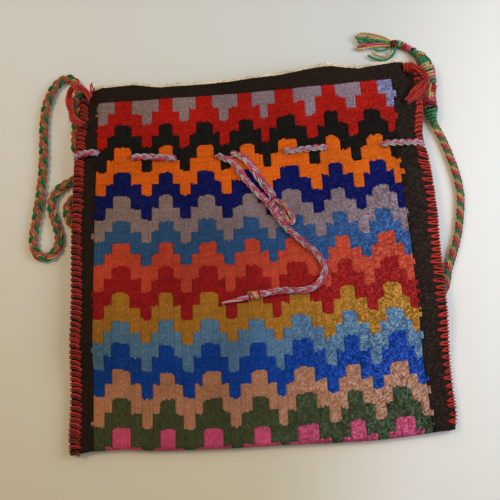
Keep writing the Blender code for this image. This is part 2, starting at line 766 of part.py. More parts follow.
def strap():
    """The shoulder strap: sewn up the left edge, over the top, down beside the bag, twice under
    it and up the right side to its knot."""
    route = on_table(STRAP_ROUTE, [STRAP_RADIUS] * len(STRAP_ROUTE))
    points, long = curve_through(route, STRAP_POINTS)
    tube("shoulder_strap", points, STRAP_RADIUS, STRAP_GREEN)
    print(f"strap {long:.3f} m")


def strap_knot_and_tassel():
    """The wrapped knot beside the right corner, and the loose ends that hang from it."""
    knot = on_table(KNOT_ROUTE, [KNOT_RADIUS * share for share in KNOT_SHARES])
    tube("strap_knot", knot, KNOT_RADIUS, RED_YARN, None, KNOT_SHARES)
    tassel = on_table(TASSEL_ROUTE, [TASSEL_RADIUS * share for share in TASSEL_SHARES])
    tube("strap_tassel", tassel, TASSEL_RADIUS, STRAP_GREEN, None, TASSEL_SHARES)
    for name, route in YARN_ROUTES:
        points, _ = curve_through(on_table(route, [TASSEL_RADIUS] * len(route)), YARN_POINTS)
        tube(name, points, YARN_RADIUS, TASSEL_TAN)


def lashings():
    """Red yarn that ties the strap to both corners of the mouth. A route's third number says how
    high it lies: 0 on the strap, 1 on the seam."""
    low = FLOOR_GAP + 2 * STRAP_RADIUS + TOUCH + LASHING_RADIUS
    high = front_top(LEFT_MOUTH_Y) + 2 * TOUCH + STITCH_WALL + LASHING_RADIUS
    for name, route in (
        ("strap_lashing_left", LEFT_LASHING_ROUTE),
        ("strap_lashing_right", RIGHT_LASHING_ROUTE),
    ):
        places = [drawn(x, y, mix(low, high, lift)) for x, y, lift in route]
        points, _ = curve_through(places, LASHING_POINTS)
        tube(name, points, LASHING_RADIUS, RED_YARN)


def main():
    for obj in list(bpy.data.objects):
        bpy.data.objects.remove(obj)
    collection(COLLECTION)
    cutters = collection("Cutters")
    cutters.hide_render = True
    front = empty("mouth_hinge", (0, butt_y(), 2 * FOLD_RADIUS))
    tail_slit = slit_place(SLIT_COLUMNS["tail_1"], SLIT_ROWS_DOWN)
    tails = empty("drawstring_slide", (*tail_slit, drawstring_levels()[2]))
    hold(tails, front)
    panel = back_panel()
    left_mouth = mouth_y(left_edge(LEFT_MOUTH_Y))
    right_mouth = mouth_y(right_edge(RIGHT_MOUTH_Y))
    for name, edge, inward, mouth in (
        ("left_seam", left_edge, 1, left_mouth),
        ("right_seam", right_edge, -1, right_mouth),
    ):
        seam(name, edge, inward, mouth)
    pieces = front_panel(front)
    slits = drawstring(panel, pieces, front)
    drawstring_tails(tails, slits)
    mouth_cords(front)
    strap()
    strap_knot_and_tassel()
    lashings()


main()
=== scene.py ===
"""A small hand-woven shoulder bag, dressed: its cloth, stitches, plaits and loose yarns.

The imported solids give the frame. The bag lies on its back with the fold towards the viewer, X to
the right, Y from the fold to the mouth and Z up, in metres.
"""

import json
import math

import bpy
import numpy as np
from bpy.props import FloatProperty, FloatVectorProperty, IntProperty, PointerProperty
from mathutils import Matrix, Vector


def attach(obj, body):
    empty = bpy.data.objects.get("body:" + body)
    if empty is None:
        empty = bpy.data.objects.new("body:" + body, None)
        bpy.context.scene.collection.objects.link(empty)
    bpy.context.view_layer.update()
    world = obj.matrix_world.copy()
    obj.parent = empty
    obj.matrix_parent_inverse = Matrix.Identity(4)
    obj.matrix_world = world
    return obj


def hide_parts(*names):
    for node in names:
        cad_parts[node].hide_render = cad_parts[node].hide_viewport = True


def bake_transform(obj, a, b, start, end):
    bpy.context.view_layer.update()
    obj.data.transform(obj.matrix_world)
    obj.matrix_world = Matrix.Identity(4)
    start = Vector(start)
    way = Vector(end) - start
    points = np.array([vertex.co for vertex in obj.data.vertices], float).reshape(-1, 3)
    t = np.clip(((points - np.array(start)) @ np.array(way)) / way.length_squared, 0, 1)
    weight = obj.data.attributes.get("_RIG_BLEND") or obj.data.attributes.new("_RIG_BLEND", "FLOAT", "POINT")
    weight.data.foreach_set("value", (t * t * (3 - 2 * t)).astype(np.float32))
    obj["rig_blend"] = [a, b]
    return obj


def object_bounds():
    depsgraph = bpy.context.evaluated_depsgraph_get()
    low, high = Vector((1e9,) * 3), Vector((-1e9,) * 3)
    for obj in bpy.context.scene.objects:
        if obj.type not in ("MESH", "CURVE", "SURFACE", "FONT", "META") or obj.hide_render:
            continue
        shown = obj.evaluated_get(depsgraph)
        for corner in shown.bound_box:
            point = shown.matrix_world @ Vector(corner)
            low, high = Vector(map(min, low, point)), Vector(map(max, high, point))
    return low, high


bl_info = {
    "name": "Hand-woven shoulder bag",
    "version": (1, 0, 0),
    "blender": (4, 5, 0),
    "location": "3D View > Sidebar > Woven Bag",
    "description": "Dresses the bag's solids in slit tapestry, whip stitches, plaits and loose yarns",
    "category": "Object",
}

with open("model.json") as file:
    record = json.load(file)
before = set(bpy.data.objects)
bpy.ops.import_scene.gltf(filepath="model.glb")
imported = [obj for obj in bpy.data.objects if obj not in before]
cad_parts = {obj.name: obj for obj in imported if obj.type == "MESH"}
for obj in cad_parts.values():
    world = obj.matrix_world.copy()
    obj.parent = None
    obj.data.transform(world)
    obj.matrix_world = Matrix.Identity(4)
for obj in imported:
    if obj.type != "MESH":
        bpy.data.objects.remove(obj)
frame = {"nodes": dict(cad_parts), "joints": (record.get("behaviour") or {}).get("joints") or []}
CAD_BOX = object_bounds()

MM = 0.001

# The outline of the bag as it lies, as (y, x) places in millimetres
LEFT_EDGE = (
    (-127.0, -125.0), (-116.3, -125.7), (-92.2, -124.3), (-61.0, -123.4), (-28.7, -121.8),
    (4.9, -121.5), (39.7, -120.2), (75.9, -118.1), (98.2, -116.7), (117.1, -115.0),
)
RIGHT_EDGE = (
    (-127.4, 117.5), (-119.7, 119.3), (-101.3, 119.6), (-73.0, 120.7), (-47.1, 121.9),
    (-13.5, 122.9), (13.5, 124.5), (36.1, 124.6), (54.7, 123.8), (63.5, 122.0), (71.2, 122.2),
    (82.4, 124.2), (94.0, 126.2), (107.9, 128.2), (123.4, 127.8),
)
FIELD_LEFT = (
    (-117.0, -109.9), (-56.3, -107.7), (9.0, -105.3), (72.2, -102.2), (101.7, -100.9),
)
FIELD_RIGHT = (
    (-127.1, 102.5), (-100.0, 102.1), (-65.7, 101.2), (-13.4, 102.5), (32.4, 102.0),
    (64.2, 102.0), (93.9, 104.5),
)
MOUTH_LINE = (
    (-113.4, 120.8), (-107.5, 119.8), (-102.0, 118.2), (-95.0, 117.6), (-76.0, 118.2), (-57.0, 114.9),
    (-39.0, 115.0), (-20.0, 115.5), (-8.0, 115.7), (6.0, 117.4), (26.0, 118.3), (49.0, 121.7),
    (62.0, 122.6), (82.0, 119.0), (93.0, 120.4), (116.0, 123.6), (126.2, 123.2),
)
NOSE_LINE = (
    (-125.0, -126.3), (-112.0, -124.6), (-90.0, -124.8), (-75.0, -126.8), (-54.0, -128.0),
    (-24.0, -129.2), (6.0, -129.6), (42.0, -130.8), (67.0, -131.2), (87.0, -130.4), (108.0, -129.0),
    (119.0, -128.6),
)

# The cloth in cross-section, as in the solids
CLOTH = 2.6 * MM
STRAP_SPACE = 5.5 * MM
POCKET_GAP = 5.2 * MM
FOLD_RADIUS = 3.6 * MM
FOLD_Y = -127.0 * MM
RISE_START_Y = -90.0 * MM
RISE_END_Y = -50.0 * MM
FALL_START_Y = 83.0 * MM
FALL_END_Y = 108.0 * MM
POCKET_OPENS_Y = -62.0 * MM
BUTT_Y = FOLD_Y + FOLD_RADIUS + CLOTH / 2

# How the edges of the cloth are drawn down to the seams
EDGE_FALL = 17.0 * MM
EDGE_ROLL = 2.4 * MM
SEAM_HEIGHT = 2 * CLOTH + 0.6 * MM
SEAM_HOLDS = 62.0 * MM
FOLD_HOLDS = 25.0 * MM
DIMPLE_DEPTH = 1.7 * MM
LEAST_HEIGHT = 0.15 * MM

# The weave: warps counted from the left edge and picks from the mouth
LEFT_WARPS = 7
COLUMN_WARPS = (
    3, 2, 5, 3, 3, 2, 4, 2, 3, 2, 5, 2, 3, 3, 4, 2, 2, 2, 5, 3, 3, 2, 4, 3, 3, 2, 5, 2, 2,
)
RIGHT_WARPS = 8
FIELD_WARPS = sum(COLUMN_WARPS)
WARPS = LEFT_WARPS + FIELD_WARPS + RIGHT_WARPS
LINES_PER_WARP = 4
ROWS = 28
PICKS_PER_ROW = 10
HEAD_PICKS = 14
FOLD_PICKS = 12
PICK = 0.85 * MM
BACK_PICK = 2.4 * MM
PEAKS_AT_HEAD = (-83.1, -53.7, -27.2, 0.5, 28.5, 59.7, 87.7)
PEAKS_AT_FOLD = (-92.6, -63.8, -34.9, -4.8, 25.2, 56.0, 85.7)
HEAD_Y = 107.0
NOSE_Y = -126.0
LEFT_ROWS = (
    106.6, 89.2, 72.8, 55.6, 38.9, 21.8, 7.4, -8.2, -25.4, -43.5, -57.8, -74.3, -91.2, -109.4,
    -124.1,
)
RIGHT_ROWS = (
    109.6, 89.0, 70.2, 50.8, 33.0, 16.4, -0.1, -16.6, -33.9, -50.5, -65.2, -84.0, -99.5, -118.0,
    -128.1,
)
BOW_AT_HEAD = 1.6
BOW_AT_FOLD = 4.0
BOW_SKEW = 0.8

# The view and the table
UP = np.array((0.0, 0.0, 1.0))
CAMERA_PLACE = (-10.1 * MM, -94.7 * MM, 402.9 * MM)
TABLE_REACH = 3.0

# How yarn is drawn: the length of a bead of weft in millimetres, the plies and sides of a yarn, the
# share of its thickness left at its ends, and how fast a flat plait turns level
BEAD_LENGTH = 1.1
PLIES = 2.0
YARN_SIDES = 6
YARN_END = 0.25
LEVELLING = 0.35
CORD_STEP = 0.7 * MM
STRAP_LEVEL = 2.6 * MM

# Routes of the cords in millimetres, those of the solids but for small moves beside the seams
STRAP_ROUTE = (
    (-120.5, 77.4), (-120.1, 86.0), (-119.8, 94.0), (-119.6, 102.0), (-119.3, 110.0),
    (-118.6, 117.0), (-117.8, 125.2), (-120.4, 132.0), (-126.8, 134.2), (-133.2, 129.6),
    (-137.8, 121.8), (-140.8, 112.0), (-142.2, 100.0), (-142.4, 84.0), (-142.8, 68.0),
    (-144.2, 52.0), (-146.4, 36.0), (-148.6, 22.0), (-149.2, 11.6), (-145.6, 4.2),
    (-138.8, 3.0), (-133.4, 8.2), (-132.0, 17.0), (-134.2, 26.0), (-136.6, 34.6),
    (-136.4, 43.0), (-131.6, 50.4), (-123.0, 55.6), (-110.0, 60.0), (-96.0, 60.4),
    (-87.0, 54.4), (-89.6, 45.8), (-100.0, 43.0), (-111.0, 45.6), (-119.6, 44.6),
    (-125.0, 38.8), (-126.2, 31.4), (-122.8, 24.4), (-114.0, 20.2), (-100.0, 22.4),
    (-86.0, 33.0), (-72.0, 47.0), (-56.0, 54.0), (-42.0, 46.0), (-35.0, 28.0),
    (-29.0, 6.0), (-18.0, -16.0), (-2.0, -28.0), (14.0, -22.0), (24.0, -2.0),
    (32.0, 22.0), (44.0, 40.0), (60.0, 44.0), (72.0, 32.0), (80.0, 12.0),
    (88.0, -12.0), (97.0, -31.0), (108.0, -41.6), (118.0, -43.4), (124.6, -38.2),
    (128.4, -27.0), (133.4, -15.6), (138.4, -3.4), (142.4, 11.4), (144.8, 25.0),
    (144.4, 39.0), (142.0, 53.0), (138.8, 66.0), (135.4, 76.0), (133.6, 81.2),
)
LONG_TAIL_ROUTE = (
    (-16.4, 58.6), (-11.6, 56.4), (-8.2, 52.0), (-5.4, 47.0), (-1.6, 40.6), (4.0, 33.2),
    (9.6, 26.4), (14.2, 19.4), (18.6, 11.2), (25.2, 3.2), (32.6, -4.4), (39.0, -11.0),
    (43.0, -17.4), (43.4, -23.8), (40.6, -29.6), (35.6, -33.4), (29.0, -35.0), (21.8, -34.6),
    (14.4, -34.2), (6.3, -34.9), (0.6, -35.6),
)
SHORT_TAIL_ROUTE = (
    (-5.2, 60.2), (-0.4, 55.4), (2.6, 49.8), (6.2, 43.2), (10.4, 36.0), (14.8, 28.6),
)
LOOP_ROUTE = (
    (17.0, 26.2), (20.4, 23.8), (23.4, 19.6), (25.8, 15.0), (26.6, 11.6), (24.8, 10.4),
    (22.2, 12.8), (20.2, 16.6),
)
TIP_ROUTE = ((-6.4, -36.6), (-12.0, -37.6), (-18.0, -38.6), (-24.2, -39.6))
END_KNOT_ROUTE = ((-0.2, -35.7), (-2.8, -36.0), (-5.4, -36.4))
LOOP_FROM = (13.6, 26.2)
LOOP_TO = (18.2, 18.4)
LOOP_KNOT = ((10.6, 26.2), (13.4, 22.2), (16.4, 17.2))
KNOT_ROUTE = (
    (134.2, 79.6), (133.0, 83.6), (132.4, 88.0), (132.4, 91.8), (132.6, 95.4), (134.2, 103.0),
    (135.6, 108.5), (134.6, 114.0), (133.0, 121.0), (132.4, 125.6), (131.0, 129.4),
    (129.6, 132.2),
)
KNOT_SHARES = (0.55, 0.85, 1.18, 1.02, 0.86, 0.82, 0.86, 1.0, 1.22, 1.24, 1.0, 0.7)
CORNER_KNOT_ROUTE = ((114.4, 118.8), (117.6, 118.4), (121.0, 117.4), (124.2, 116.0))
TASSEL_ROUTE = ((129.3, 132.8), (127.6, 136.2), (122.6, 140.4), (117.0, 143.6), (111.4, 143.8))
LEFT_LASHING_ROUTE = (
    (-104.4, 109.2, 1.0), (-108.2, 114.4, 1.04), (-113.0, 118.8, 0.98), (-118.0, 121.4, 0.66),
    (-121.8, 118.6, 0.3), (-122.2, 111.4, 0.24), (-120.9, 104.4, 0.28), (-118.8, 98.0, 0.56),
    (-115.0, 92.8, 0.98), (-109.6, 89.8, 1.0),
)
RIGHT_LASHING_ROUTE = (
    (118.4, 118.4, 1.0), (122.0, 115.8, 1.05), (125.6, 112.8, 1.02), (129.2, 110.2, 0.7),
    (129.6, 106.8, 0.66), (126.4, 102.6, 1.0), (120.4, 97.0, 1.03), (111.4, 90.2, 1.0),
)

# The drawstring's slits, as x and y in millimetres
SLITS = {
    "left": (-101.6, 69.7), "out_1": (-78.1, 64.4), "in_1": (-49.6, 62.0),
    "tail_1": (-21.1, 61.0), "tail_2": (-8.9, 61.8), "in_2": (25.2, 61.0),
    "out_2": (53.7, 61.8), "right": (92.0, 61.5),
}


def linear(code):
    """An sRGB hex colour as linear light."""
    parts = [int(code[at:at + 2], 16) / 255 for at in (1, 3, 5)]
    light = [part / 12.92 if part <= 0.04045 else ((part + 0.055) / 1.055) ** 2.4 for part in parts]
    return (*light, 1.0)


def dye(name, description, code):
    """A colour that a user can change."""
    return FloatVectorProperty(
        name=name, description=description, subtype="COLOR", size=4, min=0, max=1,
        default=linear(code),
    )


def length(name, description, default, low, high):
    """A length that a user can change, given here in millimetres."""
    return FloatProperty(
        name=name, description=description, default=default * MM, min=low * MM, max=high * MM,
        unit="LENGTH",
    )


def power(name, description, default):
    """The power of a lamp, in watts, that a user can change."""
    return FloatProperty(name=name, description=description, default=default, min=0, unit="POWER")


class WeftColours(bpy.types.PropertyGroup):
    """Dyes of the wefts in the cloth, from the mouth to the fold."""

    dark_brown: dye("Dark brown", "Undyed brown wool of the borders and the back", "#170E08")
    lilac: dye("Lilac", "Heathered lilac blocks at the head of the field", "#78637A")
    red: dye("Red", "First band", "#A61408")
    black: dye("Black", "Second band", "#0B0704")
    orange: dye("Orange", "Third band", "#DE620E")
    navy: dye("Navy", "Fourth band", "#020C58")
    grey_mauve: dye("Grey mauve", "Fifth band", "#7A677C")
    steel_blue: dye("Steel blue", "Sixth band", "#2A4F84")
    coral: dye("Coral", "Seventh band", "#B8422E")
    crimson: dye("Crimson", "Eighth band", "#901416")
    ochre: dye("Ochre", "Ninth band", "#A06E24")
    light_blue: dye("Light blue", "Tenth band", "#4E76A2")
    royal_blue: dye("Royal blue", "Eleventh band", "#063C9A")
    tan_pink: dye("Tan pink", "Twelfth band", "#AE785C")
    dark_green: dye("Dark green", "Thirteenth band", "#1C3A20")
    pink: dye("Pink", "Squares at the fold", "#C04870")
    blue_lilac: dye("Blue lilac", "The last block at the head of the field", "#7678A6")


class ClothSizes(bpy.types.PropertyGroup):
    """Sizes of the cloth's relief."""

    rib_height: length("Rib height", "How far each covered warp stands up", 0.3, 0, 1)
    bead_height: length("Bead height", "How far a weft stands up over a warp", 0.3, 0, 1)
    slit_depth: length("Slit depth", "How deep the slits between two colours are", 0.55, 0, 2)
    lump_height: length("Lump height", "How unevenly the cloth lies", 0.45, 0, 2)
    seed: IntProperty(
        name="Seed", description="Changes the weaver's small irregularities", default=11, min=0,
    )


class YarnSizes(bpy.types.PropertyGroup):
    """Sizes and dyes of the stitches, plaits and loose yarns."""

    strap_width: length("Strap width", "Width of the shoulder strap's plait", 6.4, 3, 12)
    strap_twist: length("Strap repeat", "Length in which a strand comes back", 16, 8, 40)
    drawstring_width: length("Drawstring width", "Width of the drawstring's plait", 4.6, 2, 8)
    drawstring_twist: length("Drawstring repeat", "Length in which a strand comes back", 15, 5, 30)
    stitch_pitch: length("Stitch pitch", "Distance between two whip stitches", 3.5, 2, 10)
    stitch_yarn: length("Stitch yarn", "Thickness of one yarn in a stitch", 1.1, 0.4, 3)
    green: dye("Green", "Green yarn of the strap", "#2E784A")
    pink: dye("Pink", "Pink yarn of the strap", "#C8486A")
    red: dye("Red", "Red yarn of the strap and the stitches", "#AC2416")
    tan: dye("Tan", "Tan yarn of the strap", "#BA9A5E")
    coral: dye("Coral", "Worn red yarn of the strap", "#C0523C")
    rose: dye("Rose", "Rose yarn of the drawstring", "#BC4A5E")
    mauve: dye("Mauve", "Mauve yarn of the drawstring", "#A694B4")
    grey: dye("Grey", "Undyed yarn of the drawstring", "#BEAE9C")
    apricot: dye("Apricot", "Faded yarn in the drawstring's loop", "#D0784A")
    cream: dye("Cream", "Undyed cotton ends of the warps", "#DACDB2")


class StageSettings(bpy.types.PropertyGroup):
    """The camera, the lamps and the table."""

    lens: FloatProperty(
        name="Lens", description="Focal length on a 36 mm sensor", default=43.7, min=20, max=120,
    )
    tilt: FloatProperty(
        name="Tilt", description="How far the camera leans back from looking straight down",
        default=math.radians(13.0), unit="ROTATION",
    )
    roll: FloatProperty(
        name="Roll", description="How far the picture is turned", default=math.radians(4.3),
        unit="ROTATION",
    )
    window_power: power("Window power", "Power of the cool lamp at the right", 2.1)
    lamp_power: power("Lamp power", "Power of the warm lamp at the upper left", 2.9)
    fill_power: power("Fill power", "Power of the cool lamp beyond the mouth", 0.7)
    sky: FloatProperty(
        name="Room light", description="Strength of the light from all round", default=0.28, min=0,
    )
    table_near: dye("Table, near", "Colour of the table before the fold", "#CEC7AE")
    table_far: dye("Table, far", "Colour of the table beyond the mouth", "#D6DADA")
    table_lit: dye("Table, lit", "Colour of the table towards the window", "#ECE9E4")


def smooth(share):
    """A share from 0 to 1, eased at both ends."""
    share = np.clip(share, 0.0, 1.0)
    return share * share * (3 - 2 * share)


def mix(low, high, share):
    """What lies a share of the way from low to high."""
    return low + (high - low) * share


def along_table(places, at):
    """A value read off a table of (place, value) pairs in millimetres, both in metres."""
    table = np.array(places) * MM
    return np.interp(at, table[:, 0], table[:, 1])


def unit(vectors):
    """The same directions, one long."""
    return vectors / np.linalg.norm(vectors, axis=-1, keepdims=True)


def back_under(y):
    """The underside of the back: on the table at both ends and over the strap between."""
    up = smooth((y - RISE_START_Y) / (RISE_END_Y - RISE_START_Y))
    down = smooth((y - FALL_START_Y) / (FALL_END_Y - FALL_START_Y))
    return STRAP_SPACE * (up - down)


def front_top(y):
    """The upper face of the front, away from its edges."""
    up = smooth((y - RISE_START_Y) / (RISE_END_Y - RISE_START_Y))
    open_share = smooth((y - BUTT_Y) / (POCKET_OPENS_Y - BUTT_Y))
    fold_gap = 2 * FOLD_RADIUS - 2 * CLOTH
    return STRAP_SPACE * up + 2 * CLOTH + mix(fold_gap, POCKET_GAP, open_share)


def edge_distance(x, y):
    """How far a place lies inside the nearer side edge."""
    return np.minimum(x - along_table(LEFT_EDGE, y), along_table(RIGHT_EDGE, y) - x)


def rolled(distance):
    """How far the cloth curls over at its very edge, from 0 inside to 1 at the edge."""
    share = 1 - np.clip(distance / EDGE_ROLL, 0.0, 1.0)
    return 1 - np.sqrt(1 - share * share * 0.999)


def lumps(x, y):
    """The uneven lie of the cloth, stronger towards the right."""
    height = bpy.context.scene.bag_cloth.lump_height
    across = (x - CAD_BOX[0].x) / (CAD_BOX[1].x - CAD_BOX[0].x)
    px, py = x / MM, y / MM
    wave = np.sin(px / 17 + 1.3) * np.sin(py / 23 + 0.4)
    wave = wave + 0.7 * np.sin(px / 9.1 + py / 13 + 2.0) * np.sin(py / 11 - px / 29)
    wave = wave + 0.4 * np.sin(px / 5.3 - py / 7.7)
    return height * wave * mix(0.5, 1.2, across)


def dimples(x, y):
    """Where the drawstring dives through the cloth, it draws the cloth down with it."""
    depth = 0
    for slit_x, slit_y in SLITS.values():
        away = ((x / MM - slit_x) / 3.4) ** 2 + ((y / MM - slit_y) / 3.0) ** 2
        depth = depth + np.exp(-away)
    return DIMPLE_DEPTH * depth


def front_height(x, y):
    """The upper face of the front, drawn down to the seams and to the drawstring."""
    distance = edge_distance(x, y)
    at_seam = back_under(y) + SEAM_HEIGHT
    high = front_top(y)
    settled = mix(np.minimum(at_seam, high), high, smooth((distance - EDGE_ROLL) / EDGE_FALL))
    inside = smooth(distance / EDGE_FALL) * smooth((y - FOLD_Y) / EDGE_FALL)
    settled = settled + lumps(x, y) * inside - dimples(x, y)
    return settled - rolled(distance) * CLOTH


def back_height(x, y):
    """The underside of the back, curled up at the seams."""
    return back_under(y) + rolled(edge_distance(x, y)) * CLOTH * 1.05


def lift_share(x, y):
    """How far a place on the front follows the mouth as it opens: the seams hold its edges."""
    return smooth(edge_distance(x, y) / SEAM_HOLDS) * smooth((y - FOLD_Y) / FOLD_HOLDS)


def feed(tree, socket, source):
    """Links a socket to another one or to a node's first output, or gives it a value."""
    if isinstance(source, bpy.types.Node):
        source = source.outputs[0]
    if isinstance(source, bpy.types.NodeSocket):
        tree.links.new(source, socket)
    else:
        socket.default_value = source


def add_node(tree, kind, **parts):
    """Adds a shader node. Parts in small letters are its settings; the others are its sockets,
    named as Blender names them with _ for each space, or in_0, in_1 by their place."""
    node = tree.nodes.new("ShaderNode" + kind)
    for name, part in parts.items():
        if name.startswith("in_"):
            feed(tree, node.inputs[int(name[3:])], part)
        elif name.islower():
            setattr(node, name, part)
        else:
            feed(tree, node.inputs[name.replace("_", " ")], part)
    return node


def set_stops(ramp, *stops):
    """Gives a colour ramp its two stops, as places and colours."""
    for element, (place, colour) in zip(ramp.color_ramp.elements, stops):
        element.position = place
        element.color = colour


def new_material(name):
    """An empty material with its Principled shader."""
    made = bpy.data.materials.new(name)
    made.use_nodes = True
    return made, made.node_tree, made.node_tree.nodes["Principled BSDF"]


def shaded(colour, share):
    """The same dye, darker below a share of 1 and lighter above."""
    return (*[min(part * share, 1.0) for part in colour[:3]], 1.0)


def towards_window(tree, low, high, least, most):
    """A value that grows across the table towards the window at the lower right."""
    place = add_node(tree, "SeparateXYZ", Vector=add_node(tree, "TexCoord").outputs["Object"])
    lean = add_node(
        tree, "Math", operation="MULTIPLY_ADD", in_0=place.outputs["Y"], in_1=-0.32,
        in_2=place.outputs["X"],
    )
    return add_node(
        tree, "MapRange", interpolation_type="SMOOTHSTEP", Value=lean, From_Min=low,
        From_Max=high, To_Min=least, To_Max=most,
    )


def bead_count(tree, place):
    """Beads of weft counted along the warps; they sit half a bead apart on neighbouring warps."""
    warp = add_node(tree, "Math", operation="FLOOR", in_0=place.outputs["X"])
    half = add_node(tree, "Math", operation="MULTIPLY", in_0=warp, in_1=0.5)
    return add_node(
        tree, "Math", operation="MULTIPLY_ADD", in_0=place.outputs["Y"], in_1=1 / BEAD_LENGTH,
        in_2=half,
    )


def aged_dye_with_painted_shade(tree, weave, fibres, colour, heather, fleck):
    """A dye as the eye sees it on old wool: streaked, heathered and uneven, with painted shade on
    the side away from the window.
    """
    # Shade from pick to pick: long streaks along the weft
    streak_place = add_node(
        tree, "VectorMath", operation="MULTIPLY", in_0=weave, in_1=(0.11, 1.0, 1.0),
    )
    streaks = add_node(tree, "TexNoise", Vector=streak_place, Scale=0.8, Detail=3.0, Roughness=0.6)
    tone = add_node(tree, "ValToRGB", Fac=streaks)
    set_stops(tone, (0.32, shaded(colour, 0.72)), (0.68, shaded(colour, 1.22)))
    speckle = add_node(tree, "ValToRGB", Fac=fibres)
    set_stops(speckle, (0.34, shaded(colour, 0.45)), (0.66, fleck or shaded(colour, 1.7)))
    heathered = add_node(
        tree, "Mix", data_type="RGBA", Factor=heather, in_6=tone, in_7=speckle,
    ).outputs[2]
    # Abrash: slow changes of the dye over some 40 mm
    where = add_node(tree, "TexCoord").outputs["Object"]
    abrash = add_node(tree, "TexNoise", Vector=where, Scale=26.0, Detail=2.0)
    slow = add_node(
        tree, "MapRange", Value=abrash, From_Min=0.3, From_Max=0.7, To_Min=0.82, To_Max=1.16,
    )
    wool_colour = add_node(tree, "VectorMath", operation="SCALE", in_0=heathered, Scale=slow)
    # Painted shade: darker and warmer on the side away from the window, where less of its cool light falls
    shade_away_from_window = towards_window(tree, -0.14, 0.1, 0.8, 0.0)
    return add_node(
        tree, "Mix", data_type="RGBA", blend_type="MULTIPLY", Factor=shade_away_from_window, in_6=wool_colour,
        in_7=(0.86, 0.72, 0.42, 1.0),
    ).outputs[2]


def glints_and_hollow_shade(tree, across, beads, fibres, glint_share):
    """How much painted highlight lies on the ends of the weft, and how much painted shade sinks
    them, as the window's raking light would give them. They are half a warp wide and a bead
    high with ragged edges, and more towards the window."""
    rightward_gain = towards_window(tree, 0.0, 0.14, 0.1, glint_share)
    halves = add_node(tree, "Math", operation="MULTIPLY_ADD", in_0=across, in_1=1.5, in_2=fibres)
    column = add_node(tree, "Math", operation="FLOOR", in_0=halves)
    finer = add_node(tree, "Math", operation="MULTIPLY", in_0=beads, in_1=1.25)
    rows = add_node(tree, "Math", operation="MULTIPLY_ADD", in_0=column, in_1=0.37, in_2=finer)
    ragged = add_node(tree, "Math", operation="MULTIPLY_ADD", in_0=fibres, in_1=0.25, in_2=rows)
    row = add_node(tree, "Math", operation="FLOOR", in_0=ragged)
    cell = add_node(tree, "CombineXYZ", X=column, Y=row)
    chance = add_node(tree, "TexWhiteNoise", Vector=cell).outputs["Value"]
    shares = []
    for low, high in ((0.5, 0.95), (0.4, 0.05)):
        share = add_node(tree, "MapRange", Value=chance, From_Min=low, From_Max=high)
        shares.append(add_node(tree, "Math", operation="MULTIPLY", in_0=share, in_1=rightward_gain))
    return shares


def woven_wool(name, colour, heather=0.25, fleck=None, glint_share=0.85, pale=None):
    """Hand-spun wool weft beaten down over cotton warps: matt, fibrous, uneven in dye from pick to
    pick, with a bead wherever it crosses a warp, and painted highlights on the weft's ends
    towards the window with painted shade between them."""
    made, tree, shader = new_material(name)
    weave = add_node(tree, "UVMap", uv_map="weave")
    place = add_node(tree, "SeparateXYZ", Vector=weave)
    beads = bead_count(tree, place)
    # Fibres of a lighter and a darker dye carded into the yarn, about 1 mm long
    fibre_place = add_node(
        tree, "VectorMath", operation="MULTIPLY", in_0=weave, in_1=(1.6, 1.25, 1.0),
    )
    fibres = add_node(
        tree, "TexNoise", Vector=fibre_place, Scale=1.0, Detail=4.0, Roughness=0.75,
        Distortion=0.6,
    )
    # The dye's streaks, heather and abrash, with painted shade on the side away from the window
    wool_colour = aged_dye_with_painted_shade(tree, weave, fibres, colour, heather, fleck)
    # Painted highlights where the weft's ends catch the window's light, and painted shade in the hollows
    # between them
    shine, depth = glints_and_hollow_shade(tree, place.outputs["X"], beads, fibres, glint_share)
    pale = pale or (*[min(part * 2.5 + 0.06, 1.0) for part in colour[:3]], 1.0)
    shining = add_node(
        tree, "Mix", data_type="RGBA", Factor=shine, in_6=wool_colour, in_7=pale,
    ).outputs[2]
    lit = add_node(
        tree, "Mix", data_type="RGBA", Factor=depth, in_6=shining, in_7=shaded(colour, 0.4),
    ).outputs[2]
    feed(tree, shader.inputs["Base Color"], lit)
    turn = add_node(tree, "Math", operation="MULTIPLY", in_0=beads, in_1=2 * math.pi)
    crowns = add_node(tree, "Math", operation="SINE", in_0=turn)
    height = add_node(tree, "Math", operation="MULTIPLY_ADD", in_0=fibres, in_1=1.6, in_2=crowns)
    bump = add_node(tree, "Bump", Height=height, Strength=0.6, Distance=0.25 * MM)
    feed(tree, shader.inputs["Normal"], bump)
    rough = add_node(
        tree, "MapRange", Value=fibres, From_Min=0.3, From_Max=0.7, To_Min=0.96, To_Max=0.78,
    )
    feed(tree, shader.inputs["Roughness"], rough)
    shader.inputs["Specular IOR Level"].default_value = 0.1
    shader.inputs["Sheen Weight"].default_value = 0.02
    shader.inputs["Sheen Roughness"].default_value = 0.45
    return made


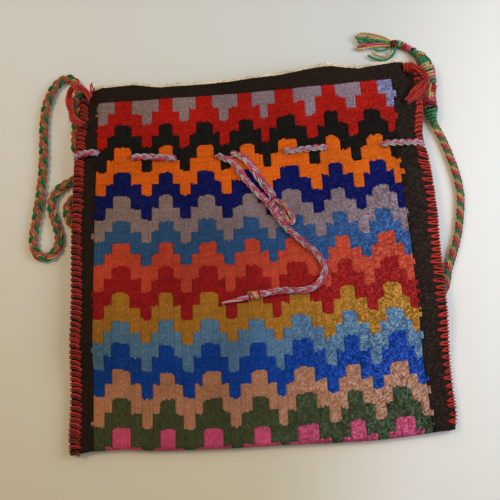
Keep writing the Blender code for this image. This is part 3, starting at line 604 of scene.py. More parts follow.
def spun_yarn(name, colour, ply_length=3.2):
    """Plied yarn seen singly, as in a plait or a stitch: two plies wind round it, with painted
    shade in the groove between them and fibrous on their crowns."""
    made, tree, shader = new_material(name)
    place = add_node(tree, "SeparateXYZ", Vector=add_node(tree, "UVMap", uv_map="weave"))
    wound = add_node(tree, "Math", operation="MULTIPLY", in_0=place.outputs["X"], in_1=PLIES)
    advanced = add_node(
        tree, "Math", operation="MULTIPLY_ADD", in_0=place.outputs["Y"], in_1=1 / ply_length,
        in_2=wound,
    )
    turn = add_node(tree, "Math", operation="MULTIPLY", in_0=advanced, in_1=math.pi)
    wave = add_node(tree, "Math", operation="SINE", in_0=turn)
    crown = add_node(tree, "Math", operation="ABSOLUTE", in_0=wave)
    where = add_node(tree, "TexCoord").outputs["Object"]
    fibres = add_node(tree, "TexNoise", Vector=where, Scale=900.0, Detail=3.0, Roughness=0.7)
    patches = add_node(tree, "TexNoise", Vector=where, Scale=70.0, Detail=2.0)
    # Painted shade in the groove between the plies and a slight painted highlight on their crowns
    tone = add_node(tree, "ValToRGB", Fac=crown)
    set_stops(tone, (0.0, shaded(colour, 0.5)), (0.7, shaded(colour, 1.12)))
    uneven = add_node(tree, "Math", operation="MULTIPLY_ADD", in_0=fibres, in_1=0.9, in_2=patches)
    strength = add_node(
        tree, "MapRange", Value=uneven, From_Min=0.6, From_Max=1.3, To_Min=0.66, To_Max=1.4,
    )
    dyed_and_shaded = add_node(tree, "VectorMath", operation="SCALE", in_0=tone, Scale=strength)
    feed(tree, shader.inputs["Base Color"], dyed_and_shaded)
    height = add_node(tree, "Math", operation="MULTIPLY_ADD", in_0=fibres, in_1=0.5, in_2=crown)
    bump = add_node(tree, "Bump", Height=height, Strength=0.7, Distance=0.25 * MM)
    feed(tree, shader.inputs["Normal"], bump)
    shader.inputs["Roughness"].default_value = 0.75
    shader.inputs["Specular IOR Level"].default_value = 0.3
    shader.inputs["Sheen Weight"].default_value = 0.08
    shader.inputs["Sheen Roughness"].default_value = 0.4
    return made


# The numbers of the strap's dyes and of the drawstring's, and the yarns of each strand
GREEN, RED, PINK, TAN, DARK_GREEN, DARK_RED, BROWN, CORAL = range(8)
ROSE, MAUVE, GREY, APRICOT = range(4)
WORN_STRANDS = (
    (GREEN, DARK_GREEN, GREEN, GREEN, BROWN), (CORAL, BROWN, RED, TAN, RED),
    (BROWN, CORAL, TAN, RED, TAN),
)
FRESH_STRANDS = (
    (GREEN, GREEN, DARK_GREEN, TAN, GREEN), (TAN, TAN, BROWN, TAN, TAN),
    (RED, PINK, RED, PINK, DARK_RED),
)
CORD_STRANDS = ((ROSE, ROSE, MAUVE), (MAUVE, GREY, ROSE), (ROSE, MAUVE, ROSE))
RUN_STRANDS = ((ROSE, GREY, MAUVE), (MAUVE, GREY, MAUVE), (ROSE, GREY, ROSE))
LOOP_STRANDS = ((ROSE, APRICOT, ROSE), (MAUVE, GREY, APRICOT), (APRICOT, ROSE, GREY))
SHORT_LOOSENESS = 1.22


def mesh_piece(name, corners, quads, weave, materials, owners):
    """A mesh of quads with a UV map that counts warps or turns across and millimetres along."""
    data = bpy.data.meshes.new(name)
    data.vertices.add(len(corners))
    data.vertices.foreach_set("co", np.asarray(corners, np.float32).ravel())
    data.loops.add(quads.size)
    data.loops.foreach_set("vertex_index", quads.astype(np.int32).ravel())
    data.polygons.add(len(quads))
    data.polygons.foreach_set("loop_start", np.arange(0, quads.size, 4, dtype=np.int32))
    data.polygons.foreach_set("material_index", np.asarray(owners, np.int32))
    data.polygons.foreach_set("use_smooth", np.ones(len(quads), bool))
    layer = data.uv_layers.new(name="weave")
    layer.data.foreach_set("uv", np.asarray(weave, np.float32).ravel())
    data.update(calc_edges=True)
    for material in materials:
        data.materials.append(material)
    obj = bpy.data.objects.new(name, data)
    bpy.context.scene.collection.objects.link(obj)
    return obj


def dress(piece, body, *nodes):
    """Lets a piece stand for its nodes and ride on a body."""
    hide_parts(*nodes)
    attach(piece, body)


def run_along(points):
    """The distance along a line to each of its points."""
    gaps = np.linalg.norm(np.diff(points, axis=0), axis=1)
    return np.concatenate([[0.0], np.cumsum(gaps)])


def sampled(at, run, vectors):
    """Vectors given along a run, read at other places of it."""
    return np.column_stack([np.interp(at, run, vectors[:, axis]) for axis in range(3)])


def at_height(route, height):
    """A route in millimetres as places at a height in metres."""
    return [(x * MM, y * MM, height) for x, y in route]


def fine_curve(places, step):
    """A smooth curve through a route's places, cut into even steps."""
    places = np.asarray(places, float)
    padded = np.vstack([places[0] * 2 - places[1], places, places[-1] * 2 - places[-2]])
    pieces = 16
    share = (np.arange(pieces) / pieces)[:, None]
    fine = []
    for a, b, c, d in zip(padded, padded[1:], padded[2:], padded[3:]):
        bend = a * 2 - b * 5 + c * 4 - d
        twist = b * 3 - a - c * 3 + d
        fine.append((b * 2 + (c - a) * share + bend * share**2 + twist * share**3) / 2)
    fine = np.vstack([*fine, places[-1:]])
    run = run_along(fine)
    wanted = np.linspace(0.0, run[-1], max(int(round(run[-1] / step)), 4) + 1)
    return sampled(wanted, run, fine)


def squared(side, tangent):
    """A direction turned square to a tangent."""
    side = side - tangent * side.dot(tangent)
    return side / np.linalg.norm(side)


def carried(points):
    """The tangent, a direction to the side and one outward at each point of a line."""
    tangents = unit(np.gradient(points, axis=0))
    side = np.cross(UP, tangents[0])
    if np.linalg.norm(side) < 0.1:
        side = np.cross([0.0, 1.0, 0.0], tangents[0])
    sides = np.empty_like(points)
    for at, tangent in enumerate(tangents):
        side = squared(side, tangent)
        sides[at] = side
    return tangents, sides, np.cross(tangents, sides)


def levelled(points):
    """The same for a flat plait, which lies level wherever it doesn't climb."""
    tangents, sides, _ = carried(points)
    side = sides[0]
    for at, tangent in enumerate(tangents):
        level = np.cross(UP, tangent)
        size = np.linalg.norm(level)
        if size > 0.5:
            level = level / size
            side = side + (level * np.sign(level.dot(side) or 1.0) - side) * LEVELLING
        side = squared(side, tangent)
        sides[at] = side
    return tangents, sides, np.cross(tangents, sides)


def tube(points, radius):
    """The corners, quads and weave of a round yarn, thin at both ends."""
    count = len(points)
    _, side, out = carried(points)
    radii = np.broadcast_to(np.asarray(radius, float), (count,)).copy()
    radii[[0, -1]] *= YARN_END
    turns = np.arange(YARN_SIDES) / YARN_SIDES
    angle = 2 * math.pi * turns
    ring = side[:, None] * np.cos(angle)[:, None] + out[:, None] * np.sin(angle)[:, None]
    corners = (points[:, None] + ring * radii[:, None, None]).reshape(-1, 3)
    at, around = np.meshgrid(np.arange(count - 1), np.arange(YARN_SIDES), indexing="ij")
    at, around = at.ravel(), around.ravel()
    here, ahead = at * YARN_SIDES, (at + 1) * YARN_SIDES
    after = (around + 1) % YARN_SIDES
    quads = np.stack([here + around, here + after, ahead + after, ahead + around], axis=1)
    run = run_along(points) / MM
    low, high = around / YARN_SIDES, (around + 1) / YARN_SIDES
    weave = np.stack([
        np.stack([low, run[at]], 1), np.stack([high, run[at]], 1),
        np.stack([high, run[at + 1]], 1), np.stack([low, run[at + 1]], 1),
    ], axis=1)
    return corners, quads, weave


def yarn_piece(name, lines, materials):
    """Round yarns in one mesh. A line is its points, its radius or radii, and its material."""
    corners, quads, weave, owners = [], [], [], []
    start = 0
    for points, radius, owner in lines:
        rings, faces, places = tube(points, radius)
        corners.append(rings)
        quads.append(faces + start)
        weave.append(places)
        owners.append(np.full(len(faces), owner))
        start += len(rings)
    return mesh_piece(
        name, np.vstack(corners), np.vstack(quads), np.vstack(weave), materials,
        np.concatenate(owners),
    )


def plaited(points, width, repeat, owners, seed, roped=0.0):
    """The yarns of a three-strand plait along a line. owners holds, for each strand, the material
    of each of its yarns, which lie side by side. Where roped is 1 the strands are wound round each
    other instead."""
    rng = np.random.default_rng(seed)
    _, side, out = levelled(points)
    run = run_along(points)
    count = len(owners[0])
    yarn = 0.25 * width / count**0.68
    lines = []
    for index, colours in enumerate(owners):
        phase = 2 * math.pi * (run / repeat + index / 3)[:, None]
        breath = 1 + 0.06 * np.sin(run / (repeat * 1.7) + rng.uniform(0, 6))[:, None]
        flat = side * (0.25 * np.sin(phase) * breath) + out * (0.19 * np.sin(2 * phase))
        wound = side * (0.2 * np.sin(phase)) + out * (0.2 * np.cos(phase))
        middle = points + mix(flat, wound, roped) * width
        tangents = unit(np.gradient(middle, axis=0))
        across = unit(np.cross(out, tangents))
        above = np.cross(tangents, across)
        for place, owner in enumerate(colours):
            angle = 2 * math.pi * (place + 0.25) / count
            offset = across * (math.cos(angle) * (0.27 * width - yarn))
            offset = offset + above * (math.sin(angle) * 0.1 * width)
            thick = yarn * (1 + 0.1 * np.sin(run / (9 * MM) + rng.uniform(0, 6)))
            lines.append((middle + offset, thick, owner))
    return lines


def coil(points, radii, pitch, first=0.0):
    """A line wound round another one."""
    run = run_along(points)
    at = np.linspace(0.0, run[-1], max(int(run[-1] / pitch * 14), 12))
    _, side, out = carried(points)
    angle = (2 * math.pi * at / pitch + first)[:, None]
    ring = sampled(at, run, side) * np.cos(angle) + sampled(at, run, out) * np.sin(angle)
    return sampled(at, run, points) + ring * np.interp(at, run, radii)[:, None]


def wrapped(points, radii, bands, seed):
    """Yarns wound round a line, band by band, none quite like the one before."""
    rng = np.random.default_rng(seed)
    run = run_along(points)
    run = run / run[-1]
    lines = []
    for low, high, owner in bands:
        inside = (run >= low) & (run <= high)
        yarn = rng.uniform(0.75, 1.0) * MM
        part, reach = points[inside], radii[inside] + rng.uniform(-0.2, 0.35) * MM
        pitch = yarn * rng.uniform(2.0, 2.5)
        lines.append((coil(part, reach, pitch, first=low * 9), yarn, owner))
    return lines


def bundle(places, spreads, yarns, radius, owners):
    """Loose yarns laid side by side along a route, fanned out as far as spreads says."""
    points = fine_curve(places, 0.6 * MM)
    run = run_along(points)
    fan = np.interp(run / run[-1], np.linspace(0, 1, len(spreads)), spreads)
    _, side, out = levelled(points)
    rng = np.random.default_rng(yarns)
    lines = []
    for index in range(yarns):
        across = 2 * index / (yarns - 1) - 1
        wave = 0.4 * MM * np.sin(run / (2.9 * MM) + 2.2 * index)
        heap = radius * (0.9 - across * across) + 0.3 * MM * np.sin(run / (2.3 * MM) + index * 1.7)
        shift = side * (fan * across + wave)[:, None] + out * heap[:, None]
        first, last = rng.integers(0, 4, 2)
        thick = radius * rng.uniform(0.85, 1.15)
        line = (points + shift)[first:len(points) - last]
        lines.append((line, thick, owners[index % len(owners)]))
    return lines


def corner_places(data):
    """The places of a mesh's corners, one row each."""
    places = np.empty(len(data.vertices) * 3, np.float32)
    data.vertices.foreach_get("co", places)
    return places.reshape(-1, 3).astype(float)


def set_shares(data, share):
    """Says how far each corner of a blended piece follows the second of its two bodies."""
    data.attributes["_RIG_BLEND"].data.foreach_set("value", share.astype(np.float32))


def weigh(obj):
    """Lets a piece on the front bend with it as the mouth opens, while the seams hold."""
    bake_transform(obj, "back", "front", start=(0, FOLD_Y, 0), end=(0, BUTT_Y, 0))
    data = obj.data
    places = corner_places(data)
    share = lift_share(places[:, 0], places[:, 1])
    if "front_share" in data.attributes:
        own = np.empty(len(data.vertices), np.float32)
        data.attributes["front_share"].data.foreach_get("value", own)
        share = share * own
    set_shares(data, share)


def strap_dyes():
    """The strap's yarns, in the order of their numbers."""
    yarns = bpy.context.scene.bag_yarns
    dyes = {
        "green": yarns.green, "red": yarns.red, "pink": yarns.pink, "tan": yarns.tan,
        "dark_green": shaded(yarns.green, 0.45), "dark_red": shaded(yarns.red, 0.4),
        "brown": shaded(yarns.tan, 0.5), "coral": yarns.coral,
    }
    return [spun_yarn("wool_yarn_" + name, colour) for name, colour in dyes.items()]


def drawstring_dyes():
    """The drawstring's yarns, in the order of their numbers."""
    yarns = bpy.context.scene.bag_yarns
    return [
        spun_yarn("wool_yarn_" + name, getattr(yarns, name), ply_length=2.4)
        for name in ("rose", "mauve", "grey", "apricot")
    ]


class BAG_OT_camera(bpy.types.Operator):
    """Puts the camera above the bag, a little towards the fold"""

    bl_idname = "bag.camera"
    bl_label = "Camera"

    def execute(self, context):
        stage = context.scene.bag_stage
        right = (math.cos(stage.roll), -math.sin(stage.roll), 0.0)
        ahead = np.array((math.sin(stage.roll), math.cos(stage.roll), 0.0))
        up = ahead * math.cos(stage.tilt) + UP * math.sin(stage.tilt)
        back = UP * math.cos(stage.tilt) - ahead * math.sin(stage.tilt)
        data = bpy.data.cameras.new("camera")
        data.sensor_width = 36
        data.lens = stage.lens
        camera = bpy.data.objects.new("camera", data)
        context.scene.collection.objects.link(camera)
        turn = Matrix((right, up, back)).transposed().to_4x4()
        camera.matrix_world = Matrix.Translation(CAMERA_PLACE) @ turn
        context.scene.camera = camera
        return {"FINISHED"}


def strap_line():
    """The middle of the strap, lying on the table."""
    return fine_curve(at_height(STRAP_ROUTE, STRAP_LEVEL), 0.9 * MM)


class BAG_OT_strap(bpy.types.Operator):
    """Plaits the shoulder strap in green, red, pink and tan"""

    bl_idname = "bag.strap"
    bl_label = "Strap"

    def execute(self, context):
        yarns = context.scene.bag_yarns
        width, twist = yarns.strap_width, yarns.strap_twist
        points = strap_line()
        half = len(points) // 2
        # Under the bag the plait turns half over: its right half is tighter and wound like a rope
        lines = plaited(points[:half + 1], width, twist, WORN_STRANDS, 5)
        lines += plaited(points[half:], width * 0.92, twist * 0.62, FRESH_STRANDS, 6, 0.6)
        strap = yarn_piece("strap_plait", lines, strap_dyes())
        dress(strap, "back", "shoulder_strap")
        return {"FINISHED"}


def laid_on_front(route, lift):
    """A route in millimetres as places at a height above the front."""
    return [(x * MM, y * MM, front_top(y * MM) + lift) for x, y in route]


def tail_loop(yarns, dyes, rise):
    """The loop at the short tail's end and the yarns that tie it."""
    width = yarns.drawstring_width
    loop = fine_curve(laid_on_front((LOOP_FROM, *LOOP_ROUTE, LOOP_TO), rise), 0.6 * MM)
    lines = plaited(loop, width * 0.75, yarns.drawstring_twist * 0.8, LOOP_STRANDS, 9)
    joint = fine_curve(laid_on_front(LOOP_KNOT, rise), 0.4 * MM)
    reach = np.full(len(joint), width * 0.5)
    lines.append((coil(joint, reach, 2.3 * MM), 0.75 * MM, ROSE))
    lines.append((coil(joint, reach, 4.1 * MM, 1.0), 0.7 * MM, MAUVE))
    return yarn_piece("tail_loop", lines, dyes)


def tail_knot(dyes, rise):
    """The knot that closes the long tail."""
    knot = fine_curve(laid_on_front(END_KNOT_ROUTE, rise * 1.2), 0.4 * MM)
    reach = np.linspace(2.3, 1.6, len(knot)) * MM
    lines = [
        (coil(knot, reach, 4.2 * MM, first), 0.72 * MM, owner)
        for owner, first in ((APRICOT, 0.0), (ROSE, 2.4), (GREY, 4.4))
    ]
    return yarn_piece("tail_end_knot", lines, dyes)


def tail_tip(dyes, rise):
    """The yarns past the knot, twisted to a point."""
    tip = fine_curve(laid_on_front(TIP_ROUTE, rise * 0.9), 0.5 * MM)
    taper = np.linspace(1.0, 0.45, len(tip))
    _, side, out = levelled(tip)
    lines = []
    for index, owner in enumerate((ROSE, MAUVE, ROSE, GREY)):
        wind = 2 * math.pi * (index / 4 + run_along(tip) / (24 * MM))
        offset = side * np.cos(wind)[:, None] + out * (np.sin(wind) * 0.7)[:, None]
        lines.append((tip + offset * (1.0 * MM * taper)[:, None], 0.75 * MM * taper, owner))
    return yarn_piece("tail_tip", lines, dyes)


class BAG_OT_drawstring_tails(bpy.types.Operator):
    """Plaits the drawstring's two free ends, with their loop, end knot and tip"""

    bl_idname = "bag.drawstring_tails"
    bl_label = "Drawstring tails"

    def execute(self, context):
        yarns = context.scene.bag_yarns
        dyes = drawstring_dyes()
        width = yarns.drawstring_width
        rise = width * 0.42
        tails = []
        for name, route, loose in (
            ("long_tail_plait", LONG_TAIL_ROUTE, 1.0),
            ("short_tail_plait", SHORT_TAIL_ROUTE, SHORT_LOOSENESS),
        ):
            points = fine_curve(laid_on_front(route, rise), CORD_STEP)
            lines = plaited(points, width * loose, yarns.drawstring_twist * loose, CORD_STRANDS, 8)
            tails.append((yarn_piece(name, lines, dyes), points))
        loop = tail_loop(yarns, dyes, rise)
        knot = tail_knot(dyes, rise)
        tip = tail_tip(dyes, rise)
        for piece, node in (
            (loop, "drawstring_loop_knot"), (knot, "drawstring_end_knot"), (tip, "drawstring_tip"),
        ):
            dress(piece, "drawstring_tails", node)
        for (piece, points), node, held in zip(
            tails, ("drawstring_long_tail", "drawstring_short_tail"), ([knot, tip], [loop]),
        ):
            dress(piece, "drawstring_tails", node)
        return {"FINISHED"}


# The wefts in the order of the bands: dye, share of heather, share of painted highlights on
# the weft's ends towards the window (with painted shade between them), and the colours of its
# flecks and of its painted highlights where they aren't shades of the dye
WEFTS = (
    ("dark_brown", 0.3, 0.4, "#3A2C24", "#4C3A34"), ("lilac", 0.55, 0.85, "#B9A8B4", None),
    ("red", 0.14, 0.3, None, None), ("black", 0.15, 0.1, None, None),
    ("orange", 0.16, 0.3, None, None), ("navy", 0.2, 0.25, None, None),
    ("grey_mauve", 0.55, 0.85, "#A79A90", None), ("steel_blue", 0.3, 0.85, None, None),
    ("coral", 0.3, 0.6, None, None), ("crimson", 0.25, 0.5, None, None),
    ("ochre", 0.4, 0.85, None, None), ("light_blue", 0.4, 0.85, None, "#A6C4D8"),
    ("royal_blue", 0.25, 0.85, None, None), ("tan_pink", 0.35, 0.85, None, "#E2BEB0"),
    ("dark_green", 0.45, 0.85, "#7A6A4C", "#5C7C64"), ("pink", 0.3, 0.85, None, None),
    ("blue_lilac", 0.5, 0.85, "#A8A0C8", None),
)
DARK, FIRST_BAND, BLUE_LILAC = 0, 1, 16
# How many rows earlier a column steps, and how much its steps round off, four columns to a peak
CLIMBS = (0, 1, 2, 1)
ARCHES = (1.4, 0.0, -2.0, 0.0)
LAST_STEP_SHARE = (0.82, 1.15)
LAST_BLOCK_WARPS = 6
BACK_STRIPES = (
    (14, 13), (26, 10), (30, 11), (60, 9), (66, 4), (72, 6), (104, 8), (110, 5), (116, 12),
    (150, 2), (156, 7), (162, 10), (190, 4), (196, 11),
)
STRIPE_PICKS = 2


def weft_materials():
    """One material for each dye in the cloth, in the order of the bands."""
    dyes = bpy.context.scene.bag_wefts
    made = []
    for name, heather, glint_share, fleck, pale in WEFTS:
        fleck, pale = [code and linear(code) for code in (fleck, pale)]
        made.append(woven_wool(f"wool_weft_{name}", getattr(dyes, name), heather, fleck, glint_share, pale))
    return made


def column_owners(column, wide, pick, rng):
    """The band that each cell of a column has: the steps' edges lie a pick too high or too low,
    slope a little, and round off at the peaks and in the valleys."""
    climb = CLIMBS[column % 4]
    rough = mix(0.7, 1.6, column / len(COLUMN_WARPS))
    share = (np.arange(wide * LINES_PER_WARP) + 0.5) / (wide * LINES_PER_WARP)
    arch = -ARCHES[column % 4] * np.abs(2 * share - 1) ** 4
    passed = np.zeros((len(pick), len(share)), int)
    for line in range(1, ROWS + 1):
        slope = rng.uniform(-0.9, 0.9) * rough
        shift = rng.normal(0.0, 0.45) * rough
        teeth = np.repeat(rng.integers(-1, 2, wide) * 0.4, LINES_PER_WARP)
        level = line if line < ROWS - 1 else mix(ROWS - 2, ROWS, LAST_STEP_SHARE[line - ROWS + 1])
        place = level * PICKS_PER_ROW + shift + slope * (2 * share - 1) + arch + teeth
        passed += pick[:, None] >= np.round(place)[None, :]
    return (np.minimum(passed, ROWS - 1) + climb) // 2 + FIRST_BAND


def dovetail(owners, edge, step, rng):
    """Here and there along an edge of the field a few picks turn round one warp more or less."""
    picks = len(owners)
    outer = 1 if step > 0 else 0
    at = HEAD_PICKS + 2
    while at < picks - 2:
        tall = int(rng.integers(2, 6))
        if rng.random() < 0.3:
            inner = edge * LINES_PER_WARP - outer
            far = inner + step * int(rng.integers(2, LINES_PER_WARP + 1))
            start, end = min(inner, far) + outer, max(inner, far) + outer
            owners[at:at + tall, start:end] = owners[at:at + tall, inner:inner + 1]
        at += tall + int(rng.integers(2, 6))


def front_owners(picks):
    """Which dye each cell of the front has: one row of cells for each pick and one column for
    each line of the grid."""
    rng = np.random.default_rng(bpy.context.scene.bag_cloth.seed)
    owners = np.full((picks, WARPS * LINES_PER_WARP), DARK)
    pick = np.arange(picks) - HEAD_PICKS
    low = LEFT_WARPS * LINES_PER_WARP
    for column, wide in enumerate(COLUMN_WARPS):
        high = low + wide * LINES_PER_WARP
        owners[pick >= 0, low:high] = column_owners(column, wide, pick, rng)[pick >= 0]
        low = high
    last_block = owners[:, (WARPS - RIGHT_WARPS - LAST_BLOCK_WARPS) * LINES_PER_WARP:]
    last_block[last_block == FIRST_BAND] = BLUE_LILAC
    dovetail(owners, LEFT_WARPS, -1, rng)
    dovetail(owners, LEFT_WARPS + FIELD_WARPS, 1, rng)
    return owners


def back_owners(steps):
    """The back is dark with narrow stripes of the front's dyes."""
    owners = np.full((steps, WARPS * LINES_PER_WARP), DARK)
    for start, band in BACK_STRIPES:
        low = int(start * MM / BACK_PICK)
        owners[low:low + STRIPE_PICKS] = band + FIRST_BAND
    return owners


def grid_y(row, share):
    """Where a row's line lies across the field, in metres: rows bow towards the fold."""
    rows = np.arange(len(LEFT_ROWS)) * 2.0
    left = np.interp(row, rows, LEFT_ROWS)
    right = np.interp(row, rows, RIGHT_ROWS)
    down = np.clip(row / ROWS, 0.0, 1.0)
    bow = mix(BOW_AT_HEAD, BOW_AT_FOLD, down)
    curve = np.sin(math.pi * np.clip(share, 0.0, 1.0) ** BOW_SKEW)
    return (mix(left, right, share) - bow * curve) * MM


def grid_x(warp, y):
    """Where a warp lies at a height, in metres, led by the measured peaks of the steps."""
    down = np.clip((HEAD_Y * MM - y) / ((HEAD_Y - NOSE_Y) * MM), 0.0, 1.0)
    knots = [0.0, float(LEFT_WARPS)]
    places = [along_table(LEFT_EDGE, y), along_table(FIELD_LEFT, y)]
    edge = LEFT_WARPS
    peak = 0
    for column, wide in enumerate(COLUMN_WARPS):
        if column % 4 == 2:
            knots.append(edge + wide / 2)
            places.append(mix(PEAKS_AT_HEAD[peak], PEAKS_AT_FOLD[peak], down) * MM)
            peak += 1
        edge += wide
    knots += [float(LEFT_WARPS + FIELD_WARPS), float(WARPS)]
    places += [along_table(FIELD_RIGHT, y), along_table(RIGHT_EDGE, y)]
    x = np.zeros_like(y)
    for low, high, left, right in zip(knots, knots[1:], places, places[1:]):
        inside = (warp >= low) & (warp <= high)
        share = (warp - low) / (high - low)
        x = np.where(inside[None, :], mix(left, right, share[None, :]), x)
    return x


def front_picks(warp, share):
    """Where each pick of the front lies along Y, how far it has turned round the fold, and where
    the mouth lies."""
    field = np.arange(ROWS * PICKS_PER_ROW + 1) / PICKS_PER_ROW
    level = grid_y(field[:, None], share[None, :])
    mouth = along_table(MOUTH_LINE, grid_x(warp, level[:1])[0])[None, :]
    head = mix(mouth, level[:1], np.arange(HEAD_PICKS)[:, None] / HEAD_PICKS)
    beyond = level[-1:] - np.arange(1, FOLD_PICKS + 1)[:, None] * PICK
    level = np.vstack([head, level, beyond])
    nose = along_table(NOSE_LINE, grid_x(warp, level[-1:])[0])[None, :]
    centre = nose + FOLD_RADIUS
    past = np.clip(centre - level, 0.0, None)
    turned = np.minimum(past / FOLD_RADIUS, math.pi)
    return np.where(past > 0, centre - FOLD_RADIUS * np.sin(turned), level), turned, mouth


def back_sheet(warp, fold_y, fold_z, mouth):
    """The back, which goes on from the fold up to the mouth."""
    steps = int((along_table(MOUTH_LINE, 0.0) - FOLD_Y) / BACK_PICK)
    climb = (np.arange(1, steps + 1) / steps)[:, None]
    y = mix(fold_y, mouth, climb)
    x = grid_x(warp, y)
    z = mix(fold_z, back_height(x, y), smooth(climb * steps / 3))
    return x, y, z


def ribs(warp, share):
    """How far the cloth stands up over its warps: less in the borders and towards the right."""
    rib = 1 - (2 * (warp % 1) - 1) ** 2
    in_field = (share > 0) & (share < 1)
    height = rib * np.where(in_field, 1.0, 0.55) * bpy.context.scene.bag_cloth.rib_height
    return (height * mix(1.0, 0.45, smooth(share)))[None, :]


def weave_relief(warp, share, owners):
    """Ribs over the warps, beads of weft on them, and slits where two colours meet."""
    sizes = bpy.context.scene.bag_cloth
    rng = np.random.default_rng(sizes.seed + 1)
    beads = rng.uniform(0.0, 1.0, (len(owners) + 1, WARPS + 2))
    pick = np.arange(len(beads))[:, None]
    crossing = np.floor(warp[None, :] + 0.5 * (pick % 2)).astype(int)
    rightward_gain = mix(0.35, 1.0, smooth(share))
    relief = ribs(warp, share) + beads[pick, crossing] * (rightward_gain * sizes.bead_height)[None, :]
    meet = np.zeros(relief.shape)
    differ = owners[:, 1:] != owners[:, :-1]
    meet[:-1, 1:-1] = differ
    meet[1:, 1:-1] = np.maximum(meet[1:, 1:-1], differ)
    return relief - meet * sizes.slit_depth


def sheet_piece(name, places, warp, owners):
    """A sheet of cloth from its grid of places, with warps and millimetres in its UV map."""
    rows, lines = places.shape[:2]
    at, line = np.meshgrid(np.arange(rows - 1), np.arange(lines - 1), indexing="ij")
    first = (at * lines + line).ravel()
    quads = np.stack([first, first + lines, first + lines + 1, first + 1], axis=1)
    gaps = np.linalg.norm(np.diff(places[:, :, 1:], axis=0), axis=2)
    run = np.vstack([np.zeros((1, lines)), np.cumsum(gaps, axis=0)]) / MM
    weave = np.stack([np.broadcast_to(warp[None, :], run.shape), run], axis=2).reshape(-1, 2)
    return mesh_piece(
        name, places.reshape(-1, 3), quads, weave[quads.ravel()], weft_materials(), owners.ravel(),
    )


class BAG_OT_cloth(bpy.types.Operator):
    """Weaves the front and the back as one folded strip of slit tapestry"""

    bl_idname = "bag.cloth"
    bl_label = "Cloth"

    def execute(self, context):
        warp = np.arange(WARPS * LINES_PER_WARP + 1) / LINES_PER_WARP
        share = (warp - LEFT_WARPS) / FIELD_WARPS
        y, turned, mouth = front_picks(warp, share)
        x = grid_x(warp, y)
        over = FOLD_RADIUS + FOLD_RADIUS * np.cos(turned)
        curl = rolled(edge_distance(x, y)) * CLOTH * np.cos(turned)
        z = np.where(turned > 0, over - curl, front_height(x, y))
        back_x, back_y, back_z = back_sheet(warp, y[-1:], z[-1:], mouth)
        owners = front_owners(len(y) - 1)
        relief = weave_relief(warp, share, owners) * smooth(edge_distance(x, y) / (3 * MM))
        front = np.stack([x, y - relief * np.sin(turned), z + relief * np.cos(turned)], axis=2)
        back = np.stack([back_x, back_y, back_z - ribs(warp, share)], axis=2)
        places = np.vstack([front, back])
        places[:, :, 2] = np.maximum(places[:, :, 2], LEAST_HEIGHT)
        owners = np.vstack([owners, back_owners(len(back))])
        cloth = sheet_piece("tapestry", places, warp, owners)
        own = np.zeros(places.shape[:2], np.float32)
        own[:len(front)] = 1.0
        attribute = cloth.data.attributes.new("front_share", "FLOAT", "POINT")
        attribute.data.foreach_set("value", own.ravel())
        nodes = [name for name in frame["nodes"] if name.endswith(("_band", "_border"))]
        nodes += [name for name in frame["nodes"] if name.startswith("lilac_block")]
        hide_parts("back_panel", *nodes)
        weigh(cloth)
        return {"FINISHED"}


FIRST_STITCH = -123.6 * MM
LEFT_STITCH_TOP = 119.0 * MM
RIGHT_STITCH_TOP = 120.0 * MM
LEVEL_STITCHES_TOP = 62.0 * MM
CORNER_ENDS = (
    ((-104.2, 117.6, 10.6), (-104.7, 120.0, 12.8), (-105.5, 122.2, 13.2), (-105.0, 124.4, 12.6)),
    ((-105.4, 117.2, 10.2), (-106.4, 119.2, 12.4), (-106.2, 121.6, 12.8), (-106.9, 123.2, 12.2)),
)


def stitch(table, inward, y, hole, spread, arch, radius):
    """One yarn of a whip stitch: out of a hole in the front, round the edge and into the back.
    hole is how far inside the edge and how far along it the yarn comes out."""
    reach, along = hole
    edge = float(along_table(table, y + spread))

    def over(share):
        at = y + mix(spread, along, share**1.5) + arch * math.sin(math.pi * share)
        x = float(along_table(table, at)) + inward * reach * share
        return (x, at, float(front_height(x, at)) + radius)

    def under(share):
        at = y + spread - along * 0.4 * share
        x = edge + inward * reach * share
        return (x, at, float(back_height(x, at)) - radius)

    middle = float(front_height(edge, y) + back_height(edge, y)) / 2
    start = over(1.0)
    places = [
        (start[0], start[1], start[2] - 1.2 * MM), (start[0] - inward * 0.4 * MM, *start[1:]),
        over(0.7), over(0.4), over(0.15), (edge - inward * radius, y + spread, middle),
        under(0.2), under(0.5), under(0.8),
    ]
    line = fine_curve(places, 0.7 * MM)
    line[:, 2] = np.maximum(line[:, 2], radius + 0.1 * MM)
    return line


def left_stitches(yarns, rng):
    """Each turn is a bright yarn with a darker one sunk beside it, its inner end lower; the darker
    one is painted shade between the stitches.
    """
    lines = []
    y = FIRST_STITCH
    while y < LEFT_STITCH_TOP:
        hole = rng.uniform(6.8, 8.0) * MM
        fall = rng.uniform(1.2, 2.8) * MM + 2.6 * MM * smooth((y - 85 * MM) / (25 * MM))
        arch = rng.uniform(0.3, 0.9) * MM
        # The second yarn, darker and lower, is painted shade between the stitches
        for spread, share, owner in ((0.0, 1.0, 0), (-1.3 * MM, 0.92, 1)):
            thick = yarns.stitch_yarn / 2 * share * rng.uniform(0.92, 1.08)
            line = stitch(LEFT_EDGE, 1, y, (hole * share, spread - fall), spread, arch, thick)
            lines.append((line, thick, owner if rng.random() > 0.12 else 1 - owner))
        y += yarns.stitch_pitch * rng.uniform(0.85, 1.15)
    for places in CORNER_ENDS:
        lines.append((fine_curve(np.array(places) * MM, 0.6 * MM), 0.5 * MM, 0))
    return lines


